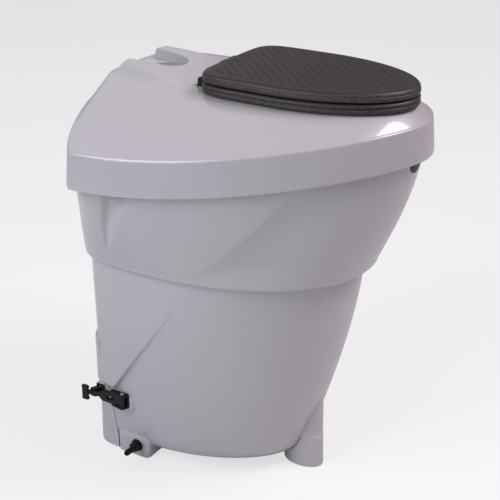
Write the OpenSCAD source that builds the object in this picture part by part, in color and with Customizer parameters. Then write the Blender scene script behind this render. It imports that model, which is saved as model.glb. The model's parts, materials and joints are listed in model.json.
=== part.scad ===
// Composting toilet: tapered tank on three feet, flared casing, domed cover with a
// foam seat and lid, a rear emptying hatch held by two rubber T-handle latches, a
// side drain spout and a saddle at the back that cradles the vent pipe.
// Millimetres. Origin on the floor under the middle of the box. The front faces -Y.

/* [Overall] */
// Height of the flat seat platform above the floor
plate_h = 818; // [812:1:830]
// Half width of the cover at its rear corners
cover_half_w = 336; // [326:1:346]
// Front of the cover, measured forward of the middle
cover_front = 338; // [332:1:342]
// Rear of the cover, measured back from the middle
cover_rear = 338; // [333:1:347]
// Wall of the moulded shells
wall = 6; // [5:0.5:7]

/* [Cover] */
// Drop from the seat platform to the skirt's lower edge, on the centre line
skirt_drop = 90; // [84:1:92]
// Height of the skirt
skirt_h = 70; // [66:1:76]
// How much lower the skirt hangs at the rear corners
corner_drop = 64; // [50:1:70]
// How far the skirt stands out past the casing
skirt_overhang = 14; // [13:0.5:17]
// Inward lean of the skirt
skirt_lean = 5; // [3:0.5:6]
// Half width of the seat platform
plateau_half_w = 122; // [118:1:130]

/* [Casing] */
// Height of the casing's lower edge above the floor
casing_h = 477; // [470:1:484]
// Half width of the casing at its lower edge
casing_half_w = 250; // [248:1:256]
// Radius of the casing's lower edge
casing_edge_r = 10; // [6:0.5:12]
// Depth of the long scoop in each side
scoop_depth = 16; // [8:1:18]
// Depth of the wedge-shaped recess behind each side
recess_depth = 17; // [8:1:18]

/* [Tank] */
// Half width of the tank's rim
tank_half_w = 236; // [232:1:237]
// How much narrower the tank is at its base, each side
tank_taper = 62; // [58:1:64]
// Clearance under the tank's belly
belly_h = 16; // [14:1:18]
// Radius where the tank's side turns under
belly_r = 45; // [42:1:48]
// How far the raised side panel stands out at its lower end
panel_proud = 10; // [6:0.5:12]
// Thickness of the foam sleeve between the tank and its liner
foam_t = 18; // [14:1:20]

/* [Hatch] */
// Height of the hatch's top edge above the floor
hatch_top = 286; // [280:1:290]
// How far the upper half of the hatch stands out
hatch_proud = 6; // [3:0.5:7]
// Width of the emptying port
port_w = 230; // [210:2:236]
// Height of the emptying port
port_h = 160; // [150:2:164]

/* [Seat] */
// Half width of the seat and lid
seat_half_w = 135; // [132:1:138]
// Length of the seat and lid, hinge edge to front
seat_len = 400; // [392:1:402]
// Thickness of the seat
seat_t = 20; // [19:0.5:21]
// Thickness of the lid at its edge
lid_t = 19.5; // [18:0.5:21]
// Half width of the seat's hole
hole_half_w = 84; // [80:1:86]
// Diameter of the hinge pin
hinge_pin_d = 6; // [5:0.5:8]

/* [Vent] */
// Outer diameter of the vent pipe that the saddle takes
pipe_d = 75; // [70:1:76]
// Depth of the vent socket
socket_len = 60; // [50:1:70]

/* [Drain] */
// Height of the drain spout's axis above the floor
drain_h = 34; // [33:0.5:35]
// Outer diameter of the hose barb
barb_d = 13; // [12:0.5:14]
// Bore of the drain spout
drain_bore = 8; // [6:0.5:8.5]

/* [Latch] */
// Height of the latches above the floor
latch_h = 148; // [146:1:150]
// Width of the rubber strap's body
strap_w = 24; // [20:1:26]
// Thickness of the rubber strap
strap_t = 8; // [6:0.5:9]
// Length of the T-handle's bar
tee_len = 36; // [30:1:40]
// Diameter of the latch pin
latch_pin_d = 5; // [4:0.5:6]

/* [Hidden] */
$fn = 48;

fit = 0.3;            // gap between pieces that only lie against each other
running = 0.05;       // radial gap between a pin and its bore
half_cols = 32;       // columns in half a ring of the outer shells
inner_cols = 20;      // columns in half a ring of the chute
wall_cols = 28;       // columns in half a ring of the tank, its foam and its liner
foam_gap = 0.8;       // gap on each side of the foam sleeve
plastic = [0.70, 0.69, 0.73];
dark = [0.07, 0.065, 0.06];
inner = [0.28, 0.28, 0.30];
foam = [0.93, 0.92, 0.88];
steel = [0.75, 0.76, 0.78];

// ---------------------------------------------------------------- ring geometry
// A level of a shell is [half width, y of the widest place, y front, y rear, n front, n rear]:
// two half superellipses that meet at the widest place. Angle -90 is the nose, 90 the rear.
// A seventh value, where there is one, is the rear half's exponent across the width.
function mix(a, b, u) = a + (b - a) * u;
function span(u, a, b) = max(0, min(1, (u - a) / (b - a)));
function signed_pow(v, p) = sign(v) * pow(abs(v), p);
function level_n(s, t) = sin(t) > 0 ? s[5] : s[4];
function level_nx(s, t) = sin(t) > 0 && len(s) > 6 ? s[6] : level_n(s, t);
function level_len(s, t) = sin(t) > 0 ? s[3] - s[1] : s[1] - s[2];
function rim_point(s, t) = let (n = level_n(s, t), m = level_nx(s, t))
  [s[0] * signed_pow(cos(t), 2 / m), s[1] + level_len(s, t) * signed_pow(sin(t), 2 / n)];
function rim_normal(s, t) = let (n = level_n(s, t), m = level_nx(s, t),
  v = [m * signed_pow(cos(t), 2 - 2 / m) / s[0],
       n * signed_pow(sin(t), 2 - 2 / n) / level_len(s, t)]) v / norm(v);
function inset_point(s, t, d) = rim_point(s, t) - d * rim_normal(s, t);
// The angle at which a level's right side passes through a given y
function angle_at(s, y) = y > s[1]
  ? asin(pow(min(1, (y - s[1]) / (s[3] - s[1])), s[5] / 2))
  : -asin(pow(min(1, (s[1] - y) / (s[1] - s[2])), s[4] / 2));
function even_angles(n) = [for (i = [0 : n]) -90 + 180 * i / n];
// A whole ring from its right half: nose, right side, rear, then the left side mirrored
function close_ring(half) = concat(half, [for (i = [len(half) - 2 : -1 : 1])
  [-half[i][0], half[i][1], half[i][2]]]);
function flat_ring(s, angles, d, z) = close_ring([for (t = angles)
  let (p = inset_point(s, t, d)) [p[0], p[1], z]]);
// The angle at which a level inset by d passes through y, between two guesses
function inset_angle(s, d, y, low, high, k = 0) = let (m = (low + high) / 2)
  k == 24 ? m : inset_point(s, m, d)[1] < y
    ? inset_angle(s, d, y, m, high, k + 1) : inset_angle(s, d, y, low, m, k + 1);
// A ring with a column on the corner where it meets the plane y = y_max. The last columns run
// straight along that plane, or round the rear where the ring isn't cut off.
function corner_ring(s, n, d, z, y_max, cut) = let (c = inset_angle(s, d, y_max, 0, 90),
    m = round(n * 0.26), q = round(n * 0.5), angles = concat([for (i = [0 : q]) -90 + 90 * i / q],
      [for (i = [1 : n - m - q]) c * pow(i / (n - m - q), 1.6)]), x = inset_point(s, c, d)[0])
  close_ring(concat(
    [for (t = angles) let (p = inset_point(s, t, d)) [p[0], p[1], z]],
    [for (i = [1 : m]) let (p = inset_point(s, mix(c, 90, i / m), d))
      cut ? [x * (m - i) / m, y_max, z] : [p[0], p[1], z]]));

// Joins rings of equal length into faces. Rings that run up the outside make an outward skin.
function skin_faces(m, n, wrap) = [for (j = [0 : (wrap ? m - 1 : m - 2)], i = [0 : n - 1])
  let (a = j * n + i, b = j * n + (i + 1) % n, k = ((j + 1) % m) * n,
       c = k + (i + 1) % n, e = k + i) each [[a, c, b], [a, e, c]]];
function flatten(rings) = [for (r = rings) each r];
function middle(ring, k = 0, sum = [0, 0, 0]) = k == len(ring)
  ? sum / k : middle(ring, k + 1, sum + ring[k]);
// Each end closes with a fan round its middle
module loft(rings) {
  n = len(rings[0]);
  m = len(rings);
  polyhedron(concat(flatten(rings), [middle(rings[0]), middle(rings[m - 1])]),
    concat(skin_faces(m, n, false), [for (i = [0 : n - 1]) [m * n, i, (i + 1) % n]],
      [for (i = [0 : n - 1]) [m * n + 1, (m - 1) * n + (i + 1) % n, (m - 1) * n + i]]), convexity = 8);
}
// The same with flat ends, for rings that bend
module bent_loft(rings) {
  n = len(rings[0]);
  m = len(rings);
  polyhedron(flatten(rings), concat(skin_faces(m, n, false),
    [[for (i = [0 : n - 1]) i]], [[for (i = [n - 1 : -1 : 0]) (m - 1) * n + i]]), convexity = 8);
}
module band(rings) {
  polyhedron(flatten(rings), skin_faces(len(rings), len(rings[0]), true), convexity = 8);
}
module ring_plate(ring, h) linear_extrude(h) polygon([for (p = ring) [p[0], p[1]]]);
module both_sides() {
  children();
  mirror([1, 0, 0]) children();
}
module bar_x(r, len) rotate([0, 90, 0]) cylinder(r = r, h = len, center = true);

// ---------------------------------------------------------------- levels of the body
cover_level = [cover_half_w, 229, -cover_front, cover_rear, 1.8, 1.44, 1.72];
casing_low = [casing_half_w, 130, -230, 335, 2.05, 4, 4];
casing_top = [cover_half_w - skirt_overhang, 229, -cover_front + skirt_overhang + 2,
              cover_rear - skirt_overhang, 1.8, 1.41, 1.67];
function casing_level(h) = mix(casing_low, casing_top, sin(90 * h));
tank_rim = casing_h + 23;
tank_full_h = casing_h - 7;      // above this height the tank's side is upright
function tank_level(z) = let (k = max(0, 1 - (z - 30) / (tank_full_h - 30)))
  [tank_half_w - tank_taper * pow(k, 1.5), 130 + 60 * k, -199 + 112 * pow(k, 1.5),
   320 + 16 * pow(k, 3), 2.05 - 0.2 * k, 4.5 + 4 * pow(k, 3)];
// The skirt's lower edge: level on the centre line, lower towards the rear corners
function skirt_z(x) = plate_h - skirt_drop - corner_drop * pow(abs(x) / cover_half_w, 2.2);

// ---------------------------------------------------------------- tank
back_y = 268;                    // flat rear bulkhead that carries the emptying port
function belly_inset(a) = belly_r * (1 - cos(a));
function belly_z(a) = belly_h + belly_r * (1 - sin(a));
belly_angles = [15, 45, 75];
// A ring of the tank at height z, inset by d; below the hatch's top it ends at the bulkhead
function tank_ring(z, d, y_max) = corner_ring(tank_level(z), wall_cols, d, z, y_max, false);
function cut_ring(z, d, y_max) = corner_ring(tank_level(z), wall_cols, d, z, y_max, true);
function belly_ring(a, d) = cut_ring(belly_z(a) + d * sin(a), belly_inset(a) + d, back_y - d);
belly_top = belly_h + belly_r;
upright = [for (k = [1 : 5]) mix(belly_top, hatch_top + 1, k / 5)];
tank_outer = concat(
  [for (i = [2, 1, 0]) belly_ring(belly_angles[i], 0)],
  [for (z = concat([belly_top], upright)) cut_ring(z, 0, back_y)],
  [for (z = concat([hatch_top + 2, hatch_top + 40],
    [for (u = [0.3, 0.6, 0.8]) mix(hatch_top + 40, tank_rim, u)], [tank_rim])) tank_ring(z, 0, back_y)]);
// Rings of the inside, from the foam's top edge down, inset by d from the outer surface
foam_top = tank_rim - 66;
mid_h = (hatch_top + foam_top) / 2;
function inside_rings(d) = concat(
  [for (z = [foam_top, mid_h, hatch_top + 2 + d]) tank_ring(z, d, back_y - d)],
  [cut_ring(hatch_top + 1 + d, d, back_y - d)],
  [for (k = [3, 2, 1, 0]) cut_ring(mix(belly_top, hatch_top, k / 4), d, back_y - d)],
  [for (a = belly_angles) belly_ring(a, d)]);

// Solid core of the tank, used to trim what is joined on from outside
module tank_core(d) loft(concat(
  [for (i = [2, 1, 0]) belly_ring(belly_angles[i], d)],
  [for (k = [0 : 4]) cut_ring(mix(belly_top, hatch_top, k / 4), d, back_y - d)]));

port_z = 62;                     // sill of the emptying port
module port_cut(grow, y0, y1)
  translate([-port_w / 2 - grow, y0, port_z - grow])
    cube([port_w + 2 * grow, y1 - y0, port_h + 2 * grow]);

// Front leg: an upright oval column under the nose
foot_y = -93;
foot_half_w = 28;
foot_half_l = 45;
foot_seam = 72;
module foot_oval(grow) scale([foot_half_w + grow, foot_half_l + grow]) circle(r = 1, $fn = 40);
module front_leg() translate([0, foot_y, foot_seam])
  linear_extrude(118, scale = 0.98) foot_oval(-2);
module rear_foot_block() hull() {
  for (x = [108, 169], y = [199, back_y - 9])
    translate([x, y, 3]) cylinder(r = 9, h = 1, $fn = 24);
  for (x = [108, 166], y = [196, back_y - 10])
    translate([x, y, 66]) cylinder(r = 10, h = 1, $fn = 24);
}

// Raised side panel: thickest at its lower edge, running out to nothing at the top
panel_low = latch_h + 28;
panel_top = 424;
seam_y = 279;                    // side seam between tank and upper hatch
function panel_edge_y(z) = 60 + (panel_top - z) / 1.36;
function panel_ring(z) = let (s = tank_level(z), k = (panel_top - z) / (panel_top - panel_low),
    end = z < hatch_top ? seam_y - 1 : seam_y + 20, a0 = angle_at(s, panel_edge_y(z)),
    a1 = angle_at(s, end), n = 6)
  concat([for (i = [0 : n]) let (p = inset_point(s, mix(a0, a1, i / n),
      -panel_proud * k * (i == 0 ? 0.25 : 1) - 0.2)) [p[0], min(p[1], end), z]],
    [for (i = [n : -1 : 0]) let (p = inset_point(s, mix(a0, a1, i / n), wall * 0.6)) [p[0], p[1], z]]);
panel_rows = [panel_low, panel_low + 14, mix(panel_low, hatch_top, 0.58), hatch_top - 0.5, hatch_top + 6,
  mix(hatch_top, panel_top, 0.33), mix(hatch_top, panel_top, 0.68), panel_top];
module side_panel() bent_loft([for (z = panel_rows) panel_ring(z)]);

// Flat pad under each latch base
pad_x = round(tank_level(latch_h + 9)[0]);
pad_y = [210, 264];
module latch_pad() hull() {
  translate([pad_x - 24, pad_y[0] - 10, latch_h - 32]) cube([1, pad_y[1] - pad_y[0] + 10, 54]);
  translate([pad_x - 1, pad_y[0], latch_h - 20]) cube([1, pad_y[1] - pad_y[0], 40]);
}

drain_y = 213;
drain_face = 184;                // distance of the spout's seat from the centre plane
module along_drain(x) translate([-drain_face + x, drain_y, drain_h]) rotate([0, -90, 0]) children();
module drain_boss() along_drain(30) cylinder(r = 15, h = 30);

thread_r = 7.6;                  // outer radius of the spout's thread
ledge_screw_angles = [-60, -20, 25, 75];
module at_ledge_screws() both_sides() for (t = ledge_screw_angles) {
  p = inset_point(tank_level(tank_rim), t, wall / 2);
  translate([p[0], p[1], tank_rim]) children();
}
module tank() color(plastic) difference() {
  union() {
    loft(concat(tank_outer, [tank_ring(tank_rim, wall, back_y - wall)], inside_rings(wall)));
    both_sides() side_panel();
    difference() {
      union() {
        front_leg();
        drain_boss();
        both_sides() {
          rear_foot_block();
          latch_pad();
        }
      }
      tank_core(wall / 2);
    }
  }
  port_cut(0, back_y - 30, back_y + 10);
  along_drain(52) cylinder(r = thread_r + running, h = 72);
  at_ledge_screws() translate([0, 0, -15]) cylinder(r = 1.9, h = 20, $fn = 24);
  both_sides() {
    translate([pad_x, pad_y[0] - 1, latch_h - 19]) cube([20, pad_y[1] - pad_y[0] + 2, 38]);
    for (z = [-9, 9]) translate([pad_x - 5.5, latch_screw_y, latch_h + z]) rotate([0, 90, 0])
      cylinder(r = 1.7, h = 20, $fn = 24);
  }
}

// ---------------------------------------------------------------- inside the tank
liner_t = 4;
liner_gap = wall + foam_t + 2 * foam_gap;     // inset of the liner's outer face
liner_floor = belly_z(75) + wall * sin(75) + 0.5;
liner_base = liner_floor + 6;                 // inner face of the liner's floor
// Rows of the liner: height over its floor and the extra inset where its side turns under
liner_rows = concat([[0, 26], [6, 14], [20, 5], [40, 0]],
  [for (k = [1 : 4]) [mix(40, foam_top - liner_floor, k / 4), 0]]);
function liner_ring(row, d) = cut_ring(liner_floor + row[0], liner_gap + row[1] + d,
  back_y - liner_gap - d);
liner_top = [foam_top + 6 - liner_floor, 0];
tube_r = 5.5;                    // spout's inner tube
module liner() color(inner) difference() {
  loft(concat([for (r = liner_rows) liner_ring(r, 0)],
    [liner_ring(liner_top, 0), liner_ring(liner_top, liner_t)],
    [for (i = [len(liner_rows) - 1 : -1 : 2]) liner_ring(liner_rows[i], liner_t)],
    [liner_ring(liner_rows[1] + [0, 4], liner_t)]));
  port_cut(0, back_y - 60, back_y);
  along_drain(70) cylinder(r = tube_r + 0.5, h = 40);
}

module insulation() color(foam) difference() {
  rings = inside_rings(wall + foam_gap);
  band(concat([for (i = [len(rings) - 3 : -1 : 0]) rings[i]],
    [for (i = [len(liner_rows) - 1 : -1 : 2]) liner_ring(liner_rows[i], -foam_gap)]));
  port_cut(0, back_y - 60, back_y);
  along_drain(52) cylinder(r = thread_r + 1, h = 45);
}

frame_wall = 3;
module port_frame() color(inner) difference() {
  port_cut(-fit, back_y - liner_gap - liner_t, back_y);
  port_cut(-fit - frame_wall, back_y - 60, back_y + 10);
}

// Perforated floor on stub legs: liquid drops through it to the sump and the spout
grate_h = 30;
grate_t = 4;
module drain_grate() color(inner) translate([0, 0, liner_base]) difference() {
  union() {
    translate([0, 0, grate_h]) ring_plate(cut_ring(liner_base + grate_h, liner_gap + liner_t + 6,
      back_y - liner_gap - liner_t - 6), grate_t);
    for (x = [-54, 54], y = [30, 110, 190])
      translate([x, y, fit]) cylinder(r = 7, h = grate_h + 1);
  }
  for (x = [-2 : 2], y = [0 : 5])
    translate([x * 36, 10 + y * 40, grate_h - 1]) cylinder(r = 5.5, h = grate_t + 2, $fn = 24);
}

// ---------------------------------------------------------------- feet
module front_foot() color(plastic) difference() {
  translate([0, foot_y, 0]) {
    linear_extrude(5, scale = 1.04) foot_oval(-1);
    translate([0, 0, 5]) linear_extrude(foot_seam - 5, scale = 0.97) foot_oval(0);
  }
  tank_core(-1.4);
}
module rear_pads() color(dark) both_sides() hull()
  for (x = [110, 166], y = [210, back_y - 11]) translate([x, y, 0]) cylinder(r = 7, h = 3);

// ---------------------------------------------------------------- upper casing
casing_rise = 58;                // casing top above the skirt's lower edge
function casing_z(x, h) = mix(casing_h + casing_edge_r, skirt_z(x) + casing_rise, h);
function nose_edge_y(s, h) = s[2] + 6 + 38 * sin(180 * pow(h, 0.8));
function scoop_edge_y(h) = 30 - 205 * pow(span(h, 0.05, 0.78), 0.8);
function recess_size(h) = span(h, 0.11, 0.75);
recess_y = 216;                  // recess's rear edge at the casing's foot
function recess_edge_y(h) = recess_y - 55 * h;
// Columns follow the creases: nose, nose edge, scoop edge, recess fade, floor, edge, rear
function casing_stops(s, h) = let (e = recess_edge_y(h), r = recess_size(h))
  [-90, angle_at(s, nose_edge_y(s, h)), angle_at(s, scoop_edge_y(h)), angle_at(s, e - 12 - 56 * r),
   angle_at(s, e - 3 - 18 * r), angle_at(s, e), 90];
casing_counts = [5, 8, 7, 2, 1, 9];
function casing_angles(s, h) = let (a = casing_stops(s, h)) concat([-90],
  [for (k = [0 : 5], i = [1 : casing_counts[k]]) mix(a[k], a[k + 1], i / casing_counts[k])]);
function scoop(u, h) = scoop_depth * sin(180 * pow(u, 1.3)) * (0.5 + 0.5 * u) * (1 - 0.55 * h)
  * span(h, 0, 0.15);
function casing_dent(s, h, t) = let (a = casing_stops(s, h))
  t < a[1] ? 0 : t < a[2] ? scoop((t - a[1]) / (a[2] - a[1]), h)
  : t < a[3] ? 0 : recess_depth * recess_size(h)
    * (t < a[4] + 0.001 ? (t - a[3]) / (a[4] - a[3]) : max(0, (a[5] - t) / (a[5] - a[4])));
function casing_ring(h, d) = let (s = casing_level(h), angles = casing_angles(s, h))
  close_ring([for (t = angles) let (p = inset_point(s, t, d + casing_dent(s, h, t)))
    [p[0], p[1], casing_z(p[0], h)]]);
low_angles = casing_angles(casing_low, 0);
module upper_casing() color(plastic) difference() {
  band(concat(
    [flat_ring(casing_low, low_angles, casing_edge_r * 0.8, casing_h),
     flat_ring(casing_low, low_angles, casing_edge_r * 0.25, casing_h + 3)],
    [for (h = [0, 0.06, 0.12, 0.25, 0.4, 0.55, 0.7, 0.85, 1]) casing_ring(h, 0)],
    [for (h = [1, 0.85, 0.55, 0.25]) casing_ring(h, wall)],
    [for (r = [[-9, tank_rim + 26], [-7, tank_rim + 8], [14, tank_rim + 8], [14, tank_rim + fit],
               [-1.2, tank_rim + fit], [-1.2, casing_h]])
      flat_ring(tank_level(tank_rim), low_angles, r[0], r[1])]));
  at_ledge_screws() cylinder(r = 2.3, h = 12, $fn = 24);
  at_cover_screws() translate([0, 0, -24]) cylinder(r = screw_r + running, h = 14, $fn = 24);
}

// ---------------------------------------------------------------- top cover
edge_r = 5;                      // radius along the skirt's upper edge
plateau = [plateau_half_w, -74, -300, 320, 2, 7];
opening = [hole_half_w + 4, -84, -262, 42, 2, 2.5];
plate_t = 6;
seat_rise = 64;                  // the gasket's seat above the skirt's lower edge
dome_in = wall + 18;             // inset at which the inner dome starts
dome_n = 1.4;                    // 1 is a straight cone, more is a rounder dome
function on_skirt(d, up) = close_ring([for (t = even_angles(half_cols))
  let (p = inset_point(cover_level, t, d)) [p[0], p[1], skirt_z(p[0]) + up]]);
// Ring a fraction u of the way from the skirt (inset d, raised up) to the plateau (inset in)
function dome_ring(u, d, up, in, top) = close_ring([for (t = even_angles(half_cols))
  let (a = inset_point(cover_level, t, d), b = inset_point(plateau, t, in),
       z = skirt_z(a[0]) + up)
  [mix(a[0], b[0], u), mix(a[1], b[1], u), mix(z, top, 1 - pow(1 - u, dome_n))]]);
function flat_even(s, d, z) = flat_ring(s, even_angles(half_cols), d, z);
module cover_shell() band(concat(
  [on_skirt(2, 0), on_skirt(0, 3), on_skirt(skirt_lean, skirt_h - edge_r),
   on_skirt(skirt_lean + edge_r * 0.3, skirt_h - edge_r * 0.3)],
  [for (u = [0, 0.15, 0.32, 0.5, 0.66, 0.8, 0.91]) dome_ring(u, skirt_lean + edge_r, skirt_h, 0, plate_h)],
  [flat_even(plateau, 0, plate_h), flat_even(opening, -4, plate_h), flat_even(opening, 0, plate_h - 4),
   flat_even(opening, 0, plate_h - 22), flat_even(opening, -5, plate_h - 22),
   flat_even(opening, -5, plate_h - plate_t), flat_even(plateau, 16, plate_h - plate_t)],
  [for (u = [0.8, 0.5, 0.2, 0]) dome_ring(u, dome_in, seat_rise + 0.5, 16, plate_h - plate_t)],
  [on_skirt(wall + skirt_lean, seat_rise), on_skirt(wall, 0)]));
// Saddle: a raised block behind the seat with an open round-ended notch for the vent pipe
pipe_y = 233;
notch_r = pipe_d / 2 + 1.5;
saddle_rise = 21;                // saddle's top at its rear, above the platform
saddle_end = 298;
hinge_x = 70;
hinge_y = 103;
// The saddle's ridge, a share k of the way from its rear top to its front end
function ridge(k) = [76 + 26 * pow(k, 1.6), saddle_end - 9 - 161 * k,
  plate_h + saddle_rise - 20 * pow(k, 1.7) - 5];
module saddle() hull() both_sides() {
  for (k = [0, 0.25, 0.5, 0.75, 1]) translate(ridge(k) - [5, 0, 0]) sphere(r = 5, $fn = 24);
  translate([52, saddle_end - 5, plate_h + saddle_rise - 6]) sphere(r = 6, $fn = 24);
  translate([91, saddle_end, plate_h - 8]) cylinder(r = 8, h = 4, $fn = 24);
  translate([102, 112, plate_h - 6]) cylinder(r = 8, h = 4, $fn = 24);
}
module notch() hull() {
  translate([0, pipe_y, plate_h + 1]) cylinder(r = notch_r, h = 40);
  translate([0, saddle_end + 60, plate_h + 1]) cylinder(r = notch_r + 15, h = 40);
}
// Flat pocket in the saddle's front that the hinge blocks stand in
module hinge_pocket() translate([-86, hinge_y - 20, plate_h]) cube([172, 33, 30]);
boss_z = plate_h - 20;           // under face of the boss round the pipe
bolt_r = 4;
socket_screw_r = 1.9;
module at_socket_screws() for (a = [45 : 90 : 315]) translate([0, pipe_y, boss_z])
  rotate([0, 0, a]) translate([pipe_d / 2 + 8.5, 0, 0]) children();
screw_r = 2.2;
module at_cover_screws() both_sides() for (t = [50, 78]) {
  v = rim_normal(cover_level, t);
  p = inset_point(cover_level, t, skirt_lean * 0.4);
  translate([p[0], p[1], skirt_z(p[0]) + 28]) rotate([0, 90, atan2(v[1], v[0])]) children();
}
module top_cover() color(plastic) difference() {
  union() {
    cover_shell();
    saddle();
    translate([0, pipe_y, boss_z]) cylinder(r = pipe_d / 2 + 15, h = 24);
  }
  notch();
  hinge_pocket();
  translate([0, pipe_y, boss_z - 10]) cylinder(r = notch_r, h = 60);
  both_sides() translate([hinge_x, hinge_y, plate_h - 20]) cylinder(r = bolt_r + 0.5, h = 30);
  at_socket_screws() translate([0, 0, -1]) cylinder(r = socket_screw_r + running, h = 14, $fn = 24);
  at_cover_screws() translate([0, 0, -14]) cylinder(r = screw_r + 0.3, h = 20, $fn = 24);
}

module cover_gasket() color(dark) band([
  for (r = [[wall + 0.5, casing_rise + 0.4], [0.5, casing_rise + 0.4], [0.5, seat_rise - 0.5],
            [wall + 0.5, seat_rise - 0.5]])
    close_ring([for (t = even_angles(half_cols)) let (p = inset_point(casing_top, t, r[0]))
      [p[0], p[1], skirt_z(p[0]) + r[1]]])]);

chute_t = 3;
module seat_chute() color(inner) band([
  for (r = [[3, -122], [0, -40], [-4, -40], [-4, -22 - fit], [chute_t, -22 - fit], [chute_t, -40],
            [chute_t + 3, -122]])
    flat_ring(opening, even_angles(inner_cols), r[0], plate_h + r[1])]);

// ---------------------------------------------------------------- vent
socket_r = pipe_d / 2 + 0.5;
socket_wall = 3.5;
seal_t = 1.5;
flange_r = pipe_d / 2 + 14;
socket_top = boss_z - seal_t;
module vent_socket() color(inner) difference() {
  translate([0, pipe_y, socket_top]) rotate_extrude()
    polygon([[socket_r, -socket_len], [socket_r, 0], [flange_r, 0], [flange_r, -4],
             [socket_r + socket_wall, -4], [socket_r + socket_wall, -socket_len]]);
  at_socket_screws() translate([0, 0, -10]) cylinder(r = socket_screw_r + 0.2, h = 12, $fn = 24);
}
module vent_seal() color(dark) difference() {
  translate([0, pipe_y, socket_top]) cylinder(r = flange_r - 1, h = seal_t);
  translate([0, pipe_y, socket_top - 1]) cylinder(r = pipe_d / 2 + 2, h = 5);
  at_socket_screws() translate([0, 0, -10]) cylinder(r = socket_screw_r + 0.2, h = 12, $fn = 24);
}
module socket_screws() color(steel) at_socket_screws() {
  translate([0, 0, -seal_t - 4 - 2.4]) cylinder(r = 3.4, h = 2.4);
  translate([0, 0, -seal_t - 5]) cylinder(r = socket_screw_r, h = 5 + seal_t + 12);
}

// ---------------------------------------------------------------- drain
flange_t = 4;
gasket_t = 2;
barb_len = 30;
nut_h = 9;
neck_r = barb_d / 2 + 1;         // thread under the nut
module drain_gasket() color(dark) along_drain(0) difference() {
  cylinder(r = 14, h = gasket_t);
  translate([0, 0, -1]) cylinder(r = thread_r + 0.4, h = gasket_t + 2);
}
module drain_spout() color(dark) along_drain(0) difference() {
  union() {
    translate([0, 0, -61]) cylinder(r = tube_r, h = 60);
    translate([0, 0, -26]) cylinder(r = thread_r, h = 26 + gasket_t);
    translate([0, 0, gasket_t]) cylinder(r = 12.5, h = flange_t);
    translate([0, 0, gasket_t + flange_t]) cylinder(r = neck_r, h = nut_h + 1);
    translate([0, 0, gasket_t + flange_t]) cylinder(r = barb_d / 2, h = barb_len);
    translate([0, 0, gasket_t + flange_t + barb_len])
      cylinder(r1 = barb_d / 2, r2 = barb_d / 2 - 1.5, h = 5);
  }
  translate([0, 0, -70]) cylinder(r = drain_bore / 2, h = 130);
}
module drain_nut() color(dark) along_drain(0) translate([0, 0, gasket_t + flange_t + fit])
  difference() {
    cylinder(r = 11.5, h = nut_h, $fn = 6);
    translate([0, 0, -1]) cylinder(r = neck_r + running, h = nut_h + 3);
  }

// ---------------------------------------------------------------- badge and screws
badge_r = 24;
module badge_plate() color(dark) intersection() {
  translate([0, -cover_front + 60, plate_h - skirt_drop - 6]) rotate([90, 0, 0]) linear_extrude(70)
    intersection() {
      circle(r = badge_r);
      translate([-badge_r, -badge_r]) square([2 * badge_r, badge_r]);
    }
  band(concat([for (h = [0.55, 0.7, 0.85]) casing_ring(h, -2)],
    [for (h = [0.85, 0.7, 0.55]) casing_ring(h, -fit)]));
}
module casing_screws() color(steel) at_ledge_screws() {
  translate([0, 0, 8]) cylinder(r = 4.2, h = 2.6);
  translate([0, 0, -14]) cylinder(r = 1.85, h = 23);
}
module cover_screws() color(steel) at_cover_screws() {
  translate([0, 0, 0.6]) cylinder(r = 5, h = 2.5);
  translate([0, 0, -18]) cylinder(r = screw_r, h = 19);
}

// ---------------------------------------------------------------- seat and lid
buffer_h = 1.2;
seat_z = plate_h + fit + buffer_h;
lid_buffer_h = 0.6;
lid_z = seat_z + seat_t + fit + lid_buffer_h;
seat_back = 90;
pad_level = [seat_half_w, -74, seat_back - seat_len, seat_back, 1.95, 6];
hole_level = [hole_half_w, -84, -258, 38, 2, 2.6];
seat_angles = even_angles(26);
function pad_ring(level, d, z) = flat_ring(level, seat_angles, d, z);
function scaled(s, k) = [s[0] * k, s[1], mix(s[1], s[2], k), mix(s[1], s[3], k), s[4], s[5]];
groove = 2.2;
module seat_ring() color(dark) band(concat(
  [for (r = [[5, 0], [1, 2], [0, 6], [0, seat_t - 12], [groove, seat_t - 10], [groove, seat_t - 8],
             [0, seat_t - 6], [1.5, seat_t - 2], [6, seat_t]]) pad_ring(pad_level, r[0], seat_z + r[1])],
  [for (r = [[-8, seat_t], [-2, seat_t - 2.5], [0, seat_t - 7], [0, 5], [-4, 0]])
    pad_ring(hole_level, r[0], seat_z + r[1])]));
lid_crown = 2.5;
module seat_lid() color(dark) loft(concat(
  [for (r = [[8, 0], [2, 1.5], [0, 5], [0, lid_t - 9], [2.5, lid_t - 3], [7, lid_t]])
    pad_ring(pad_level, r[0], lid_z + r[1])],
  [for (r = [[0.8, 0.5], [0.55, 0.85], [0.25, 1]])
    pad_ring(scaled(pad_level, r[0]), 0, lid_z + lid_t + lid_crown * r[1])]));

module under_seat(z, h, r) for (x = [-1, 1], y = [-190, 60])
  translate([x * (y < 0 ? 91 : 98), y, z]) cylinder(r = r, h = h);
module seat_buffers() color(inner) under_seat(plate_h + fit, buffer_h, 7);
module lid_buffers() color(inner) under_seat(seat_z + seat_t + fit, lid_buffer_h, 5);

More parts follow.
